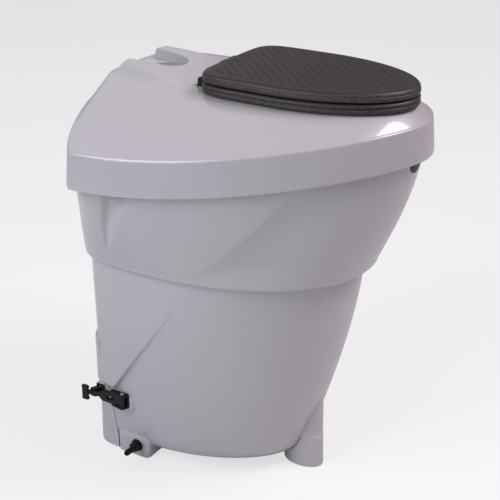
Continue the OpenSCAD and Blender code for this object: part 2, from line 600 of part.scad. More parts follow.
pin_z = seat_z + 10;
pin_r = hinge_pin_d / 2;
eye_r = 5.5;
block_w = 22;
module hinge_blocks() color(dark) both_sides() difference() {
  union() {
    translate([hinge_x - block_w / 2, hinge_y - 10, plate_h + 0.05]) cube([block_w, 20, 4]);
    translate([hinge_x - block_w / 2, hinge_y - 7.5, plate_h + 0.05])
      cube([block_w, 15, pin_z - plate_h]);
    translate([hinge_x, hinge_y, pin_z]) bar_x(7.5, block_w);
  }
  translate([hinge_x, hinge_y, pin_z]) bar_x(pin_r + running, block_w + 2);
  translate([hinge_x, hinge_y, plate_h - 1]) cylinder(r = bolt_r + running, h = 5.2);
}
module hinge_bolts() color(dark) both_sides() translate([hinge_x, hinge_y, plate_h - 34])
  cylinder(r = bolt_r, h = 34 + 4);
module hinge_wing_nuts() color(dark) both_sides()
  translate([hinge_x, hinge_y, plate_h - plate_t - 1 - 8]) difference() {
    union() {
      cylinder(r = 9, h = 8);
      translate([-18, -2, -6]) cube([36, 4, 12]);
    }
    translate([0, 0, -10]) cylinder(r = bolt_r + running, h = 20);
  }
module hinge_pin() color(steel) translate([0, hinge_y, pin_z]) {
  bar_x(pin_r, 2 * hinge_x + block_w + 2);
  for (x = [-1, 1]) translate([x * (hinge_x + block_w / 2 + 2), 0, 0]) bar_x(pin_r + 2, 3);
}
arm_w = 12;
arm_gap = fit;
seat_arm_x = 40;
lid_arm_x = 15;
// A plate against the rear of a pad, a web and an eye round the hinge pin
module hinge_arm(x, z0, z1, web_z0, web_z1) difference() {
  union() {
    translate([x, hinge_y, pin_z]) bar_x(eye_r, arm_w);
    translate([x - arm_w, seat_back + arm_gap, z0]) cube([2 * arm_w, 4, z1 - z0]);
    translate([x - arm_w / 2, seat_back + arm_gap, web_z0])
      cube([arm_w, hinge_y - seat_back - arm_gap, web_z1 - web_z0]);
  }
  translate([x, hinge_y, pin_z]) bar_x(pin_r + running, arm_w + 2);
}
module seat_arms() color(dark) both_sides()
  hinge_arm(seat_arm_x, seat_z + 3, seat_z + seat_t - 1, pin_z - 5, pin_z + 6);
module lid_arms() color(dark) both_sides()
  hinge_arm(lid_arm_x, lid_z + 1, lid_z + lid_t - 4, pin_z + 2, lid_z + 7);

// ---------------------------------------------------------------- hatch
hatch_foot = 3;
hatch_step = latch_h + 22;
hatch_y = back_y + fit;
hatch_wall = 5;
hatch_cols = 26;
function hatch_out(z) = z > hatch_step ? hatch_proud : 0;
// One level of the hatch: its rear surface from side to side, closed by a straight front edge
function hatch_ring(z, d, y0) = let (s = tank_level(max(z, 40)), a = angle_at(s, y0))
  [for (i = [0 : hatch_cols]) let (t = mix(a, 180 - a, i / hatch_cols), p = inset_point(s, t, d))
    [p[0], i == 0 || i == hatch_cols ? y0 : p[1], z]];
module hatch_block(d, y0, z0, z1) loft([for (z = [z0, 60, 110, hatch_step - 2, hatch_step + 4, 230, z1])
  hatch_ring(z, d - hatch_out(z), y0)]);
module hatch_hollow(d) hatch_block(d, back_y - 4, hatch_foot + d, hatch_top - 1 - d);
keeper_y = 296;
keeper_x = pad_x - 6;
module at_keeper_screws() both_sides() for (z = [-12, 12])
  translate([keeper_x, keeper_y, latch_h + z]) rotate([0, 90, 0]) children();
module hatch_shell() color(plastic) difference() {
  union() {
    difference() {
      hatch_block(0, hatch_y, hatch_foot, hatch_top - 1);
      hatch_hollow(hatch_wall);
    }
    both_sides() hull() {
      translate([keeper_x - 19, keeper_y - 14, latch_h - 22]) cube([1, 26, 42]);
      translate([keeper_x - 1, keeper_y - 10, latch_h - 18]) cube([1, 20, 36]);
    }
  }
  both_sides() translate([150, back_y - 5, hatch_step + 4]) cube([80, seam_y - back_y + 5, 130]);
  at_keeper_screws() translate([0, 0, -9]) cylinder(r = 1.45, h = 12, $fn = 24);
}
module hatch_insulation() color(foam) intersection() {
  hatch_hollow(hatch_wall + 2);
  translate([-142, back_y + 8, 0]) cube([284, 60, 300]);
}
seal_w = 10;
module hatch_seal() color(dark) difference() {
  port_cut(seal_w + 4, back_y + fit, back_y + 8 - fit);
  port_cut(4, back_y - 1, back_y + 20);
}

// ---------------------------------------------------------------- latches
strap_in = pad_x + 3.5;          // strap's inner face, from the centre plane
latch_pin_x = pad_x + 9;
latch_pin_y = 229;
latch_screw_y = 246;
latch_pin_r = latch_pin_d / 2;
rail = 4.5;
rail_z = strap_w / 2 + 0.5;
module latch_base() difference() {
  union() {
    translate([pad_x, 218, latch_h - rail_z - 1]) cube([3, 44, 2 * rail_z + 2]);
    for (z = [-rail_z - rail, rail_z]) hull() {
      translate([pad_x, 219, latch_h + z]) cube([1, 43, rail]);
      translate([latch_pin_x, latch_pin_y, latch_h + z]) cylinder(r = 6.5, h = rail, $fn = 32);
      translate([pad_x + 8, 256, latch_h + z]) cylinder(r = 3, h = rail, $fn = 32);
    }
  }
  translate([latch_pin_x, latch_pin_y, latch_h - 30]) cylinder(r = latch_pin_r + running, h = 60);
  for (z = [-9, 9]) translate([pad_x, latch_screw_y, latch_h + z]) rotate([0, 90, 0]) {
    translate([0, 0, -1]) cylinder(r = 1.9, h = 6, $fn = 24);
    translate([0, 0, 1.4]) cylinder(r = 3.3, h = 6, $fn = 24);
  }
}
module latch_bases() color(dark) both_sides() latch_base();
module latch_screws() color(steel) both_sides() for (z = [-9, 9])
  translate([pad_x, latch_screw_y, latch_h + z]) rotate([0, 90, 0]) {
    translate([0, 0, 1.4]) cylinder(r = 3.1, h = 1.6);
    translate([0, 0, -5]) cylinder(r = 1.65, h = 6.5);
  }
module latch_pins() color(steel) both_sides() translate([latch_pin_x, latch_pin_y, latch_h]) {
  cylinder(r = latch_pin_r, h = 2 * (rail_z + rail) + 2, center = true);
  for (z = [-1, 1]) translate([0, 0, z * (rail_z + rail + 1.5)]) cylinder(r = 4, h = 2, center = true);
}
neck_y = 289;
neck_w = 9;
tee_y = 320;
tee_x = pad_x + 12.5;
module latch_strap() difference() {
  union() {
    translate([latch_pin_x, latch_pin_y, latch_h - strap_w / 2]) cylinder(r = 5.5, h = strap_w);
    translate([strap_in, latch_pin_y, latch_h - strap_w / 2])
      cube([strap_t, neck_y - 8 - latch_pin_y, strap_w]);
    hull() {
      translate([strap_in, neck_y - 9, latch_h - strap_w / 2]) cube([strap_t, 1, strap_w]);
      translate([strap_in, neck_y, latch_h - neck_w / 2]) cube([strap_t, 1, neck_w]);
    }
    translate([strap_in, neck_y, latch_h - neck_w / 2]) cube([strap_t, 18, neck_w]);
    hull() {
      translate([strap_in, neck_y + 17, latch_h - neck_w / 2]) cube([strap_t, 1, neck_w]);
      translate([tee_x, tee_y - 3, latch_h - neck_w / 2]) cube([strap_t - 1, 2, neck_w]);
    }
    hull() for (y = [tee_y - 3, tee_y + 5])
      translate([tee_x + 4, y, latch_h - tee_len / 2 + 2]) cylinder(r = 4, h = tee_len - 4);
    for (z = [-1, 1]) hull() for (y = [tee_y - 4, tee_y + 5])
      translate([tee_x + 4, y, latch_h + z * (tee_len / 2 - 5)]) sphere(r = 4.6, $fn = 24);
  }
  translate([latch_pin_x, latch_pin_y, latch_h - 30]) cylinder(r = latch_pin_r + running, h = 60);
  translate([strap_in - 2, 251, latch_h - 4.5]) cube([strap_t + 4, 18, 9]);
}
module latch_strap_left() color(dark) mirror([1, 0, 0]) latch_strap();
module latch_strap_right() color(dark) latch_strap();

prong_t = 4;
module latch_keepers() color(dark) difference() {
  both_sides() {
    translate([keeper_x, keeper_y - 10, latch_h - 16]) cube([3, 20, 32]);
    for (z = [-1, 1]) hull() {
      translate([keeper_x, keeper_y - 5, latch_h + z * (neck_w / 2 + 1 + prong_t / 2) - prong_t / 2])
        cube([1, 14, prong_t]);
      translate([keeper_x + 15, keeper_y + 4, latch_h + z * (neck_w / 2 + 1 + prong_t / 2) - prong_t / 2])
        cube([1, 12, prong_t]);
    }
  }
  at_keeper_screws() translate([0, 0, -2]) cylinder(r = 1.6, h = 8, $fn = 24);
}
module keeper_screws() color(steel) at_keeper_screws() {
  translate([0, 0, 3]) cylinder(r = 2.2, h = 1.4);
  translate([0, 0, -8]) cylinder(r = 1.4, h = 11.5);
}

tank();
insulation();
liner();
port_frame();
upper_casing();
top_cover();
cover_gasket();
seat_chute();
vent_socket();
vent_seal();
socket_screws();
drain_grate();
drain_spout();
drain_nut();
drain_gasket();
front_foot();
rear_pads();
badge_plate();
casing_screws();
cover_screws();
hinge_blocks();
hinge_bolts();
hinge_wing_nuts();
hinge_pin();
latch_bases();
latch_pins();
latch_screws();
seat_ring();
seat_buffers();
seat_arms();
seat_lid();
lid_buffers();
lid_arms();
hatch_shell();
hatch_insulation();
hatch_seal();
latch_keepers();
keeper_screws();
latch_strap_left();
latch_strap_right();
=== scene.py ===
# Composting toilet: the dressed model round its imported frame. Metres, +Z up, front towards -Y.
import json
import math
from contextlib import contextmanager

import bmesh
import bpy
import numpy as np
from bpy.props import FloatProperty, FloatVectorProperty, IntProperty, PointerProperty
from mathutils import Euler, Matrix, Vector
from mathutils.bvhtree import BVHTree
from mathutils.geometry import delaunay_2d_cdt


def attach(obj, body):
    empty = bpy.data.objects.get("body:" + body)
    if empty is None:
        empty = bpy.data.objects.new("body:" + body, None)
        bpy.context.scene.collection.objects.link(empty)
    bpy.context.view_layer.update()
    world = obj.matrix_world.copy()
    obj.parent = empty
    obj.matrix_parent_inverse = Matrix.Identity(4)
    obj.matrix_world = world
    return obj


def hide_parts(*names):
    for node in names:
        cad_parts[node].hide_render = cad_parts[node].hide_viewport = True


bl_info = {
    "name": "Composting Toilet",
    "version": (1, 0, 0),
    "blender": (4, 5, 0),
    "location": "View3D > Sidebar > Composting Toilet",
    "description": "Builds the dressed composting toilet round its packed frame",
    "category": "Add Mesh",
}

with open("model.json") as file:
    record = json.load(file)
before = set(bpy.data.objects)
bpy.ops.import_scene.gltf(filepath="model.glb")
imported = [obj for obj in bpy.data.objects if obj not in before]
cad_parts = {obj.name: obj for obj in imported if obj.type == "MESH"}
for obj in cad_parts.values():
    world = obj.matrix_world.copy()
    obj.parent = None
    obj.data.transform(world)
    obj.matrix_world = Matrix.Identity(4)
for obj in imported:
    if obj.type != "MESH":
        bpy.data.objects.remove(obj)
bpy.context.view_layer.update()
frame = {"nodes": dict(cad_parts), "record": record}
MM = 0.001
TAU = 2 * math.pi


# ---------------------------------------------------------------- sizes and colours
def length(name, description, millimetres):
    return FloatProperty(name=name, description=description, default=millimetres * MM,
                         min=0.0, unit="LENGTH", subtype="DISTANCE", precision=4)


def colour(name, description, rgb):
    return FloatVectorProperty(name=name, description=description, default=rgb, size=3,
                               min=0.0, max=1.0, subtype="COLOR")


def factor(name, description, value):
    return FloatProperty(name=name, description=description, default=value, min=0.0, max=1.0,
                         subtype="FACTOR")


class ToiletCoverSizes(bpy.types.PropertyGroup):
    plate_h: length("Platform height", "Height of the flat seat platform above the floor", 818)
    half_w: length("Half width", "Half width of the cover at its rear corners", 336)
    front: length("Front reach", "Front of the cover, forward of the middle", 338)
    rear: length("Rear reach", "Rear of the cover, back from the middle", 338)
    skirt_drop: length("Skirt drop", "Drop from the platform to the skirt's lower edge", 90)
    skirt_h: length("Skirt height", "Height of the skirt", 70)
    corner_drop: length("Corner drop", "How much lower the skirt hangs at the rear corners", 64)
    overhang: length("Overhang", "How far the skirt stands out past the casing", 14)
    lean: length("Skirt lean", "Inward lean of the skirt", 5)
    plateau_half_w: length("Platform half width", "Half width of the seat platform", 122)
    wall: length("Wall", "Wall of the moulded shells", 6)
    pipe_d: length("Vent pipe", "Outer diameter of the vent pipe that the saddle takes", 75)
    notch_round: length("Notch edge", "Radius along the rim of the pipe notch", 2.6)
    saddle_blend: length("Saddle blend", "Reach of the fillet at the saddle's foot", 2.5)


class ToiletCasingSizes(bpy.types.PropertyGroup):
    low_h: length("Lower edge height", "Height of the casing's lower edge", 477)
    half_w: length("Half width", "Half width of the casing at its lower edge", 250)
    edge_r: length("Edge radius", "Radius of the casing's lower edge", 10)
    scoop: length("Scoop depth", "Depth of the long scoop in each side", 16)
    recess: length("Recess depth", "Depth of the wedge-shaped recess behind each side", 17)


class ToiletTankSizes(bpy.types.PropertyGroup):
    half_w: length("Half width", "Half width of the tank's rim", 236)
    taper: length("Taper", "How much narrower the tank is at its base, each side", 62)
    belly_h: length("Belly clearance", "Clearance under the tank's belly", 16)
    belly_r: length("Belly radius", "Radius where the side turns under", 45)
    panel_proud: length("Panel rise", "How far the side panel stands out at its lower end", 10)
    latch_h: length("Latch height", "Height of the latches above the floor", 148)
    hatch_top: length("Hatch top", "Height of the hatch's top edge", 286)
    hatch_proud: length("Hatch step", "How far the upper half of the hatch stands out", 6)


class ToiletSeatSizes(bpy.types.PropertyGroup):
    half_w: length("Half width", "Half width of the seat and lid", 135)
    length: length("Length", "Length of the seat and lid, hinge edge to front", 400)
    seat_t: length("Seat thickness", "Thickness of the seat", 20)
    lid_t: length("Lid thickness", "Thickness of the lid at its edge", 19.5)
    crown: length("Lid crown", "Rise of the lid's top over its edge", 2.5)
    hole_half_w: length("Hole half width", "Half width of the seat's hole", 84)
    pitch_x: length("Dimple pitch across", "Distance between dimples across the lid", 22)
    pitch_y: length("Dimple pitch along", "Distance between dimple rows along the lid", 11)
    dimple_r: length("Dimple radius", "Radius of one dimple", 2.7)
    dimple_depth: length("Dimple depth", "Depth of one dimple", 1.3)


class ToiletFinish(bpy.types.PropertyGroup):
    shell: colour("Shell plastic", "Grey of the moulded shells", (0.395, 0.380, 0.398))
    seat: colour("Seat foam", "Skin of the moulded foam seat and lid", (0.019, 0.012, 0.010))
    dark: colour("Dark plastic", "Latches, hinge parts and spout", (0.0035, 0.0035, 0.004))
    inner: colour("Inner plastic", "Liner, chute and sockets", (0.07, 0.07, 0.08))
    foam: colour("Insulation", "Closed-cell insulation foam", (0.80, 0.78, 0.70))
    rubber: colour("Rubber", "Seals, pads and straps", (0.0045, 0.0045, 0.005))
    steel: colour("Steel", "Pins and screws", (0.56, 0.57, 0.58))


class ToiletStage(bpy.types.PropertyGroup):
    floor: colour("Floor", "Colour of the studio floor", (0.93, 0.93, 0.94))
    key: FloatProperty(name="Key light", description="Power of the large key light",
                       default=44.0, min=0.0, unit="POWER")
    fill: FloatProperty(name="Fill light", description="Power of the fill light",
                        default=30.0, min=0.0, unit="POWER")
    sky: factor("Surround", "Strength of the even surround light", 0.30)


GROUPS = {"toilet_cover": ToiletCoverSizes, "toilet_casing": ToiletCasingSizes,
          "toilet_tank": ToiletTankSizes, "toilet_seat": ToiletSeatSizes,
          "toilet_finish": ToiletFinish, "toilet_stage": ToiletStage}


class Sizes:
    """One property group read as millimetres."""

    def __init__(self, group):
        self._group = group

    def __getattr__(self, name):
        return getattr(self._group, name) / MM


def sizes(name):
    return Sizes(getattr(bpy.context.scene, "toilet_" + name))


# ---------------------------------------------------------------- outlines
class Outline:
    """Two half superellipses that meet at the widest place. Angle -90 is the nose, 90 the rear."""

    def __init__(self, half_w, wide, front, rear, n_front, n_rear, n_side=None):
        self.values = np.array([half_w, wide, front, rear, n_front, n_rear,
                                n_rear if n_side is None else n_side], float)

    def mixed(self, other, u):
        return Outline(*(self.values + (other.values - self.values) * u))

    def _terms(self, t):
        half_w, wide, front, rear, n_front, n_rear, n_side = self.values
        behind = t > 0
        return (half_w, wide, np.where(behind, rear - wide, wide - front),
                np.where(behind, n_rear, n_front), np.where(behind, n_side, n_front))

    def inset(self, t, d=0.0):
        """Points of the right side at angles t (radians), moved inwards by d."""
        t = np.asarray(t, float)
        a, wide, reach, n, m = self._terms(t)
        c, s = np.clip(np.cos(t), 0, 1), np.sin(t)
        x = a * c ** (2 / m)
        y = wide + reach * np.sign(s) * np.abs(s) ** (2 / n)
        nx = m * c ** (2 - 2 / m) / a
        ny = n * np.sign(s) * np.abs(s) ** (2 - 2 / n) / reach
        size = np.hypot(nx, ny)
        return np.stack([x - d * nx / size, y - d * ny / size], -1)

    def angle_at(self, y):
        """The angle at which the right side passes through y."""
        half_w, wide, front, rear, n_front, n_rear, n_side = self.values
        if y > wide:
            return math.asin(min(1.0, (y - wide) / (rear - wide)) ** (n_rear / 2))
        return -math.asin(min(1.0, (wide - y) / (wide - front)) ** (n_front / 2))

    def inset_angle_at(self, y, d):
        """The same for the line moved inwards by d."""
        low, high = self.angle_at(min(y, self.values[3])) - 0.02, math.pi / 2
        for _ in range(40):
            middle = (low + high) / 2
            if self.inset(middle, d)[1] < y:
                low = middle
            else:
                high = middle
        return high


def even(n):
    return np.linspace(-math.pi / 2, math.pi / 2, n + 1)


def whole(half):
    """A closed ring from its right half, nose to rear, as (x, y, z) rows."""
    half = np.array(half, float)
    half[0, 0] = half[-1, 0] = 0.0
    left = half[-2:0:-1] * np.array([-1, 1, 1])
    return np.concatenate([half, left])


def level_ring(points, z):
    return whole(np.column_stack([points, np.broadcast_to(z, len(points))]))


def mix(a, b, u):
    return a + (b - a) * u


def span(u, a, b):
    return min(1.0, max(0.0, (u - a) / (b - a)))


def smooth(u):
    u = np.clip(u, 0, 1)
    return u * u * (3 - 2 * u)


def quarter(n):
    """(inward, upward) shares of a quarter round, from its upright end to its level end."""
    a = np.linspace(0, math.pi / 2, n + 1)
    return list(zip(1 - np.cos(a), np.sin(a)))


# ---------------------------------------------------------------- meshes
def skin(rings, wrap=False, cap_first=False, cap_last=False):
    """Vertices and faces of rings of equal length. Rings that climb the outside face outwards."""
    m, n = len(rings), len(rings[0])
    verts = [np.concatenate(rings)]
    faces = []
    for j in range(m if wrap else m - 1):
        a, b = j * n, ((j + 1) % m) * n
        faces += [(a + i, a + (i + 1) % n, b + (i + 1) % n, b + i) for i in range(n)]
    count = m * n
    for wanted, ring, base, turn in ((cap_first, rings[0], 0, True),
                                     (cap_last, rings[-1], (m - 1) * n, False)):
        if wanted:
            verts.append(ring.mean(axis=0)[None])
            for i in range(n):
                pair = (base + (i + 1) % n, base + i) if turn else (base + i, base + (i + 1) % n)
                faces.append((count, *pair))
            count += 1
    return np.concatenate(verts), faces


def grid_slab(top, bottom):
    """A closed slab between two grids of points of one shape, rows by columns."""
    rows, cols = top.shape[:2]
    k = rows * cols
    verts = np.concatenate([top.reshape(-1, 3), bottom.reshape(-1, 3)])
    faces = []
    for i in range(rows - 1):
        for j in range(cols - 1):
            a = i * cols + j
            faces.append((a, a + 1, a + cols + 1, a + cols))
            faces.append((k + a, k + a + cols, k + a + cols + 1, k + a + 1))
    edge = ([j for j in range(cols)] + [i * cols + cols - 1 for i in range(1, rows)]
            + [(rows - 1) * cols + j for j in range(cols - 2, -1, -1)]
            + [i * cols for i in range(rows - 2, 0, -1)])
    for p, q in zip(edge, edge[1:] + edge[:1]):
        faces.append((p, k + p, k + q, q))
    return verts, faces


@contextmanager
def edited(mesh):
    """A bmesh of the mesh that is written back at the end."""
    work = bmesh.new()
    work.from_mesh(mesh)
    yield work
    work.to_mesh(mesh)
    work.free()


def linked(name, data):
    obj = bpy.data.objects.new(name, data)
    bpy.context.scene.collection.objects.link(obj)
    return obj


def mesh_object(name, verts, faces, outwards=False):
    """An object from vertices in millimetres, with its faces turned outwards if asked."""
    mesh = bpy.data.meshes.new(name)
    mesh.from_pydata((np.asarray(verts) * MM).tolist(), [], faces)
    if outwards:
        with edited(mesh) as work:
            bmesh.ops.recalc_face_normals(work, faces=work.faces)
    return linked(name, mesh)


def settle(obj):
    """Turns the modifiers' result into a plain mesh and takes the modifiers off."""
    evaluated = obj.evaluated_get(bpy.context.evaluated_depsgraph_get())
    mesh = bpy.data.meshes.new_from_object(evaluated)
    old = obj.data
    obj.modifiers.clear()
    obj.data = mesh
    mesh.name = obj.name
    bpy.data.meshes.remove(old)
    return obj


def carve(obj, tools):
    """Cuts the tools out of obj and deletes them."""
    for tool in tools:
        cut = obj.modifiers.new("cut", "BOOLEAN")
        cut.operation = "DIFFERENCE"
        cut.solver = "EXACT"
        cut.object = tool
        settle(obj)
        bpy.data.objects.remove(tool)
    return obj


def round_edges(obj, width, segments, angle=35):
    """Rounds the edges that turn by more than the angle, in degrees."""
    bevel = obj.modifiers.new("edges", "BEVEL")
    bevel.width = width * MM
    bevel.segments = segments
    bevel.limit_method = "ANGLE"
    bevel.angle_limit = math.radians(angle)
    bevel.use_clamp_overlap = True
    bevel.harden_normals = False
    return settle(obj)


def join(obj, others):
    """Adds the other objects' meshes to obj as loose shells."""
    with edited(obj.data) as work:
        for other in others:
            work.from_mesh(other.data)
            bpy.data.objects.remove(other)
    return obj


def circle(r, z, n):
    a = np.arange(n) * TAU / n
    return np.column_stack([r * np.cos(a), r * np.sin(a), np.full(n, z)])


def cylinder(name, r, z0, z1, place, n=64):
    verts, faces = skin([circle(r, z, n) for z in (z0, z1)], cap_first=True, cap_last=True)
    return mesh_object(name, place_points(verts, place), faces)


def lathe(name, profile, place, n=96):
    """A closed profile of (radius, height), anticlockwise, turned about the Z axis."""
    verts, faces = skin([circle(r, z, n) for r, z in profile], wrap=True)
    return mesh_object(name, place_points(verts, place), faces)


def cuboid(name, low, high):
    x, y, z = np.meshgrid(*zip(low, high), indexing="ij")
    verts = np.stack([x, y, z], -1).reshape(-1, 3)
    faces = [(0, 1, 3, 2), (4, 6, 7, 5), (0, 4, 5, 1), (2, 3, 7, 6), (0, 2, 6, 4), (1, 5, 7, 3)]
    return mesh_object(name, verts, faces)


def hull(name, points):
    """The convex hull of a cloud of points."""
    mesh = bpy.data.meshes.new(name)
    with edited(mesh) as work:
        for p in points:
            work.verts.new(Vector(p) * MM)
        made = bmesh.ops.convex_hull(work, input=work.verts)
        loose = {g for g in made["geom_interior"] + made["geom_unused"]
                 if isinstance(g, bmesh.types.BMVert)}
        bmesh.ops.delete(work, geom=list(loose), context="VERTS")
        bmesh.ops.recalc_face_normals(work, faces=work.faces)
    return linked(name, mesh)


def tapered_block(name, side, ends):
    """The hull of two upright rectangles, each (x, (y0, y1), (z0, z1)), on side -1 or 1."""
    return hull(name, [(side * x, y, z) for x, ys, zs in ends for y in ys for z in zs])


def place_points(verts, place):
    rotation = np.array(place.to_3x3())
    return np.asarray(verts) @ rotation.T + np.array(place.translation)


def ball_points(centre, r, n=16):
    out = []
    for i in range(n // 2 + 1):
        b = math.pi * i / (n // 2)
        for j in range(n):
            a = TAU * j / n
            out.append((centre[0] + r * math.sin(b) * math.cos(a),
                        centre[1] + r * math.sin(b) * math.sin(a), centre[2] + r * math.cos(b)))
    return out


def disc_points(centre, r, h, n=24):
    return [(centre[0] + r * math.cos(TAU * j / n), centre[1] + r * math.sin(TAU * j / n),
             centre[2] + z) for j in range(n) for z in (0, h)]


def mirrored(points):
    return points + [(-x, y, z) for x, y, z in points]


def finish_piece(obj, body, slot, replaces=(), sharp=32):
    """Smooth shading, the slot's material and the body; hides the nodes the piece stands for."""
    mesh = obj.data
    mesh.polygons.foreach_set("use_smooth", [True] * len(mesh.polygons))
    mesh.set_sharp_from_angle(angle=math.radians(sharp))
    mesh.materials.clear()
    mesh.materials.append(material_for(slot))
    mesh.update()
    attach(obj, body)
    if replaces:
        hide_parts(*replaces)
    return obj


def node_copy(name, node, width):
    """A node's solid with its doubles merged, its flats joined and its edges rounded."""
    obj = linked(name, frame["nodes"][node].data.copy())
    obj.data.materials.clear()
    with edited(obj.data) as work:
        bmesh.ops.remove_doubles(work, verts=work.verts, dist=0.01 * MM)
        bmesh.ops.dissolve_limit(work, angle_limit=math.radians(1.0), verts=work.verts,
                                 edges=work.edges)
    return round_edges(obj, width, 3, 40)


# ---------------------------------------------------------------- shader nodes
class Wire:
    """An output socket that can be used in sums."""

    def __init__(self, tree, socket):
        self.tree, self.socket = tree, socket

    def _maths(self, operation, first, second):
        node = self.tree.nodes.new("ShaderNodeMath")
        node.operation = operation
        for socket, value in zip(node.inputs, (first, second)):
            if isinstance(value, Wire):
                self.tree.links.new(value.socket, socket)
            else:
                socket.default_value = value
        return Wire(self.tree, node.outputs[0])

    def __add__(self, other):
        return self._maths("ADD", self, other)

    def __radd__(self, other):
        return self._maths("ADD", other, self)

    def __rsub__(self, other):
        return self._maths("SUBTRACT", other, self)

    def __mul__(self, other):
        return self._maths("MULTIPLY", self, other)

    def __rmul__(self, other):
        return self._maths("MULTIPLY", other, self)


class Surface:
    """A material whose nodes are added one call at a time."""

    def __init__(self, name):
        self.material = bpy.data.materials.new(name)
        self.material.use_nodes = True
        self.tree = self.material.node_tree
        self.shader = self.tree.nodes["Principled BSDF"]
        self.place = self.add("ShaderNodeTexCoord", output="Object")

    def add(self, kind, settings=None, sockets=None, output=0):
        node = self.tree.nodes.new(kind)
        for key, value in (settings or {}).items():
            if key == "stops":
                for element, (position, grey) in zip(node.color_ramp.elements, value):
                    element.position = position
                    element.color = (grey, grey, grey, 1.0)
            else:
                setattr(node, key, value)
        self.feed(node, sockets or {})
        return Wire(self.tree, node.outputs[output])

    def feed(self, node, sockets):
        for key, value in sockets.items():
            socket = node.inputs[key]
            if isinstance(value, Wire):
                self.tree.links.new(value.socket, socket)
            else:
                socket.default_value = value

    def set(self, **sockets):
        self.feed(self.shader, {key.replace("_", " "): value for key, value in sockets.items()})

    def noise(self, scale, detail=2.0, roughness=0.5):
        return self.add("ShaderNodeTexNoise", None, {
            "Vector": self.place, "Scale": scale, "Detail": detail, "Roughness": roughness})

    def cells(self, scale, feature="F1"):
        return self.add("ShaderNodeTexVoronoi", {"feature": feature},
                        {"Vector": self.place, "Scale": scale}, "Distance")

    def ramp(self, wire, *stops):
        """Grey ramp through (position, value) stops."""
        return self.add("ShaderNodeValToRGB", {"stops": stops}, {"Fac": wire})

    def blend(self, mask, first, second):
        """Colour first where mask is 0, second where it is 1."""
        def rgba(value):
            return value if isinstance(value, Wire) else (*value[:3], 1.0)
        return self.add("ShaderNodeMix", {"data_type": "RGBA"},
                        {0: mask, 6: rgba(first), 7: rgba(second)}, 2)

    def bump(self, height, distance, strength=1.0, normal=None):
        sockets = {"Height": height, "Distance": distance, "Strength": strength}
        if normal:
            sockets["Normal"] = normal
        return self.add("ShaderNodeBump", None, sockets)


def shade(rgb, k):
    return tuple(min(1.0, c * k) for c in rgb[:3])


def shell_plastic(rgb):
    s = Surface("satin grey moulded plastic")
    cloud = s.noise(5.0, 3.0)
    grain = s.noise(620.0, 2.0, 0.6)
    ripple = s.noise(34.0, 2.0)
    # Pointiness picks out the sharper edges for a painted highlight.
    edge = s.ramp(s.add("ShaderNodeNewGeometry", output="Pointiness"), (0.53, 0.0), (0.62, 1.0))
    base = s.blend(cloud, shade(rgb, 0.965), shade(rgb, 1.03))
    speck = s.ramp(s.noise(240.0, 1.0), (0.70, 0.0), (0.78, 1.0))
    base = s.blend(speck * 0.18, base, shade(rgb, 0.80))
    # Painted highlight: the sharper edges are mixed towards a lighter grey in the base colour.
    base = s.blend(edge * 0.45, base, shade(rgb, 1.6))
    fine = s.bump(grain, 0.00006, 0.55)
    s.set(Base_Color=base, Roughness=0.24 + 0.10 * cloud + 0.05 * grain,
          Normal=s.bump(ripple, 0.00035, 0.5, fine), Coat_Weight=0.7, Coat_Roughness=0.10)
    return s.material


def foam_skin(rgb):
    """Moulded bead foam: a smooth pressed top, fine beads, light specks round the rim painted as
    glints on the beads, and painted shade in the dimples.
    """
    s = Surface("dark moulded bead foam")
    beads = s.cells(330.0)
    borders = s.cells(330.0, "DISTANCE_TO_EDGE")
    patch = s.noise(18.0, 4.0, 0.6)
    upward = s.add("ShaderNodeSeparateXYZ", None,
                   {0: s.add("ShaderNodeNewGeometry", output="Normal")}, 2)
    rim = s.ramp(upward, (0.35, 1.0), (0.85, 0.0))
    # Light specks round the rim: painted glints on the glossy beads, mixed into the base colour.
    speck = s.ramp(s.noise(700.0, 1.0), (0.56, 0.0), (0.68, 1.0)) * rim
    dimple = s.add("ShaderNodeAttribute", {"attribute_name": "dimple"}, output="Fac")
    base = s.blend(patch, shade(rgb, 0.75), shade(rgb, 1.35))
    base = s.blend(speck * 0.6, base, (0.24, 0.20, 0.19))
    # Painted shade: the dimples' hollows are darkened in the base colour, and they also get a
    # rougher skin.
    base = s.blend(dimple * 0.85, base, shade(rgb, 0.12))
    height = s.ramp(borders, (0.0, 0.0), (0.16, 1.0)) * (0.25 + 0.75 * rim)
    bumps = s.bump(height, 0.00030, 0.55)
    s.set(Specular_IOR_Level=0.45, Base_Color=base,
          Roughness=0.36 + 0.14 * patch + 0.08 * beads + 0.3 * dimple,
          Normal=s.bump(patch, 0.0006, 0.35, bumps))
    return s.material


def plain_finish(name, grain, cloud, shades, rough, bump, **others):
    """Maker of a one-colour finish with a soft cloud in its tone and a fine grain in its skin."""
    def make(rgb):
        s = Surface(name)
        fine, soft = s.noise(*grain), s.noise(*cloud)
        s.set(Base_Color=s.blend(soft, shade(rgb, shades[0]), shade(rgb, shades[1])),
              Roughness=rough[0] + rough[1] * soft, Normal=s.bump(fine, *bump), **others)
        return s.material
    return make


dark_plastic = plain_finish("near-black moulded plastic", (900.0, 2.0), (40.0, 3.0), (0.8, 1.5),
                            (0.30, 0.16), (0.00005, 0.6), Specular_IOR_Level=0.28)
rubber = plain_finish("black moulded rubber", (700.0, 3.0, 0.6), (30.0, 3.0), (0.8, 1.9),
                      (0.40, 0.18), (0.00007, 0.5), Specular_IOR_Level=0.28)
inner_plastic = plain_finish("plain inner plastic", (480.0, 2.0), (12.0, 4.0), (0.8, 1.25),
                             (0.48, 0.14), (0.00009, 0.6))


def insulation_foam(rgb):
    s = Surface("closed-cell foam")
    cells = s.cells(260.0)
    cloud = s.noise(14.0, 3.0)
    s.set(Base_Color=s.blend(cells * 0.5 + cloud * 0.5, shade(rgb, 1.08), shade(rgb, 0.80)),
          Roughness=0.86 - 0.10 * cloud, Normal=s.bump(cells, 0.0006, 0.6))
    return s.material


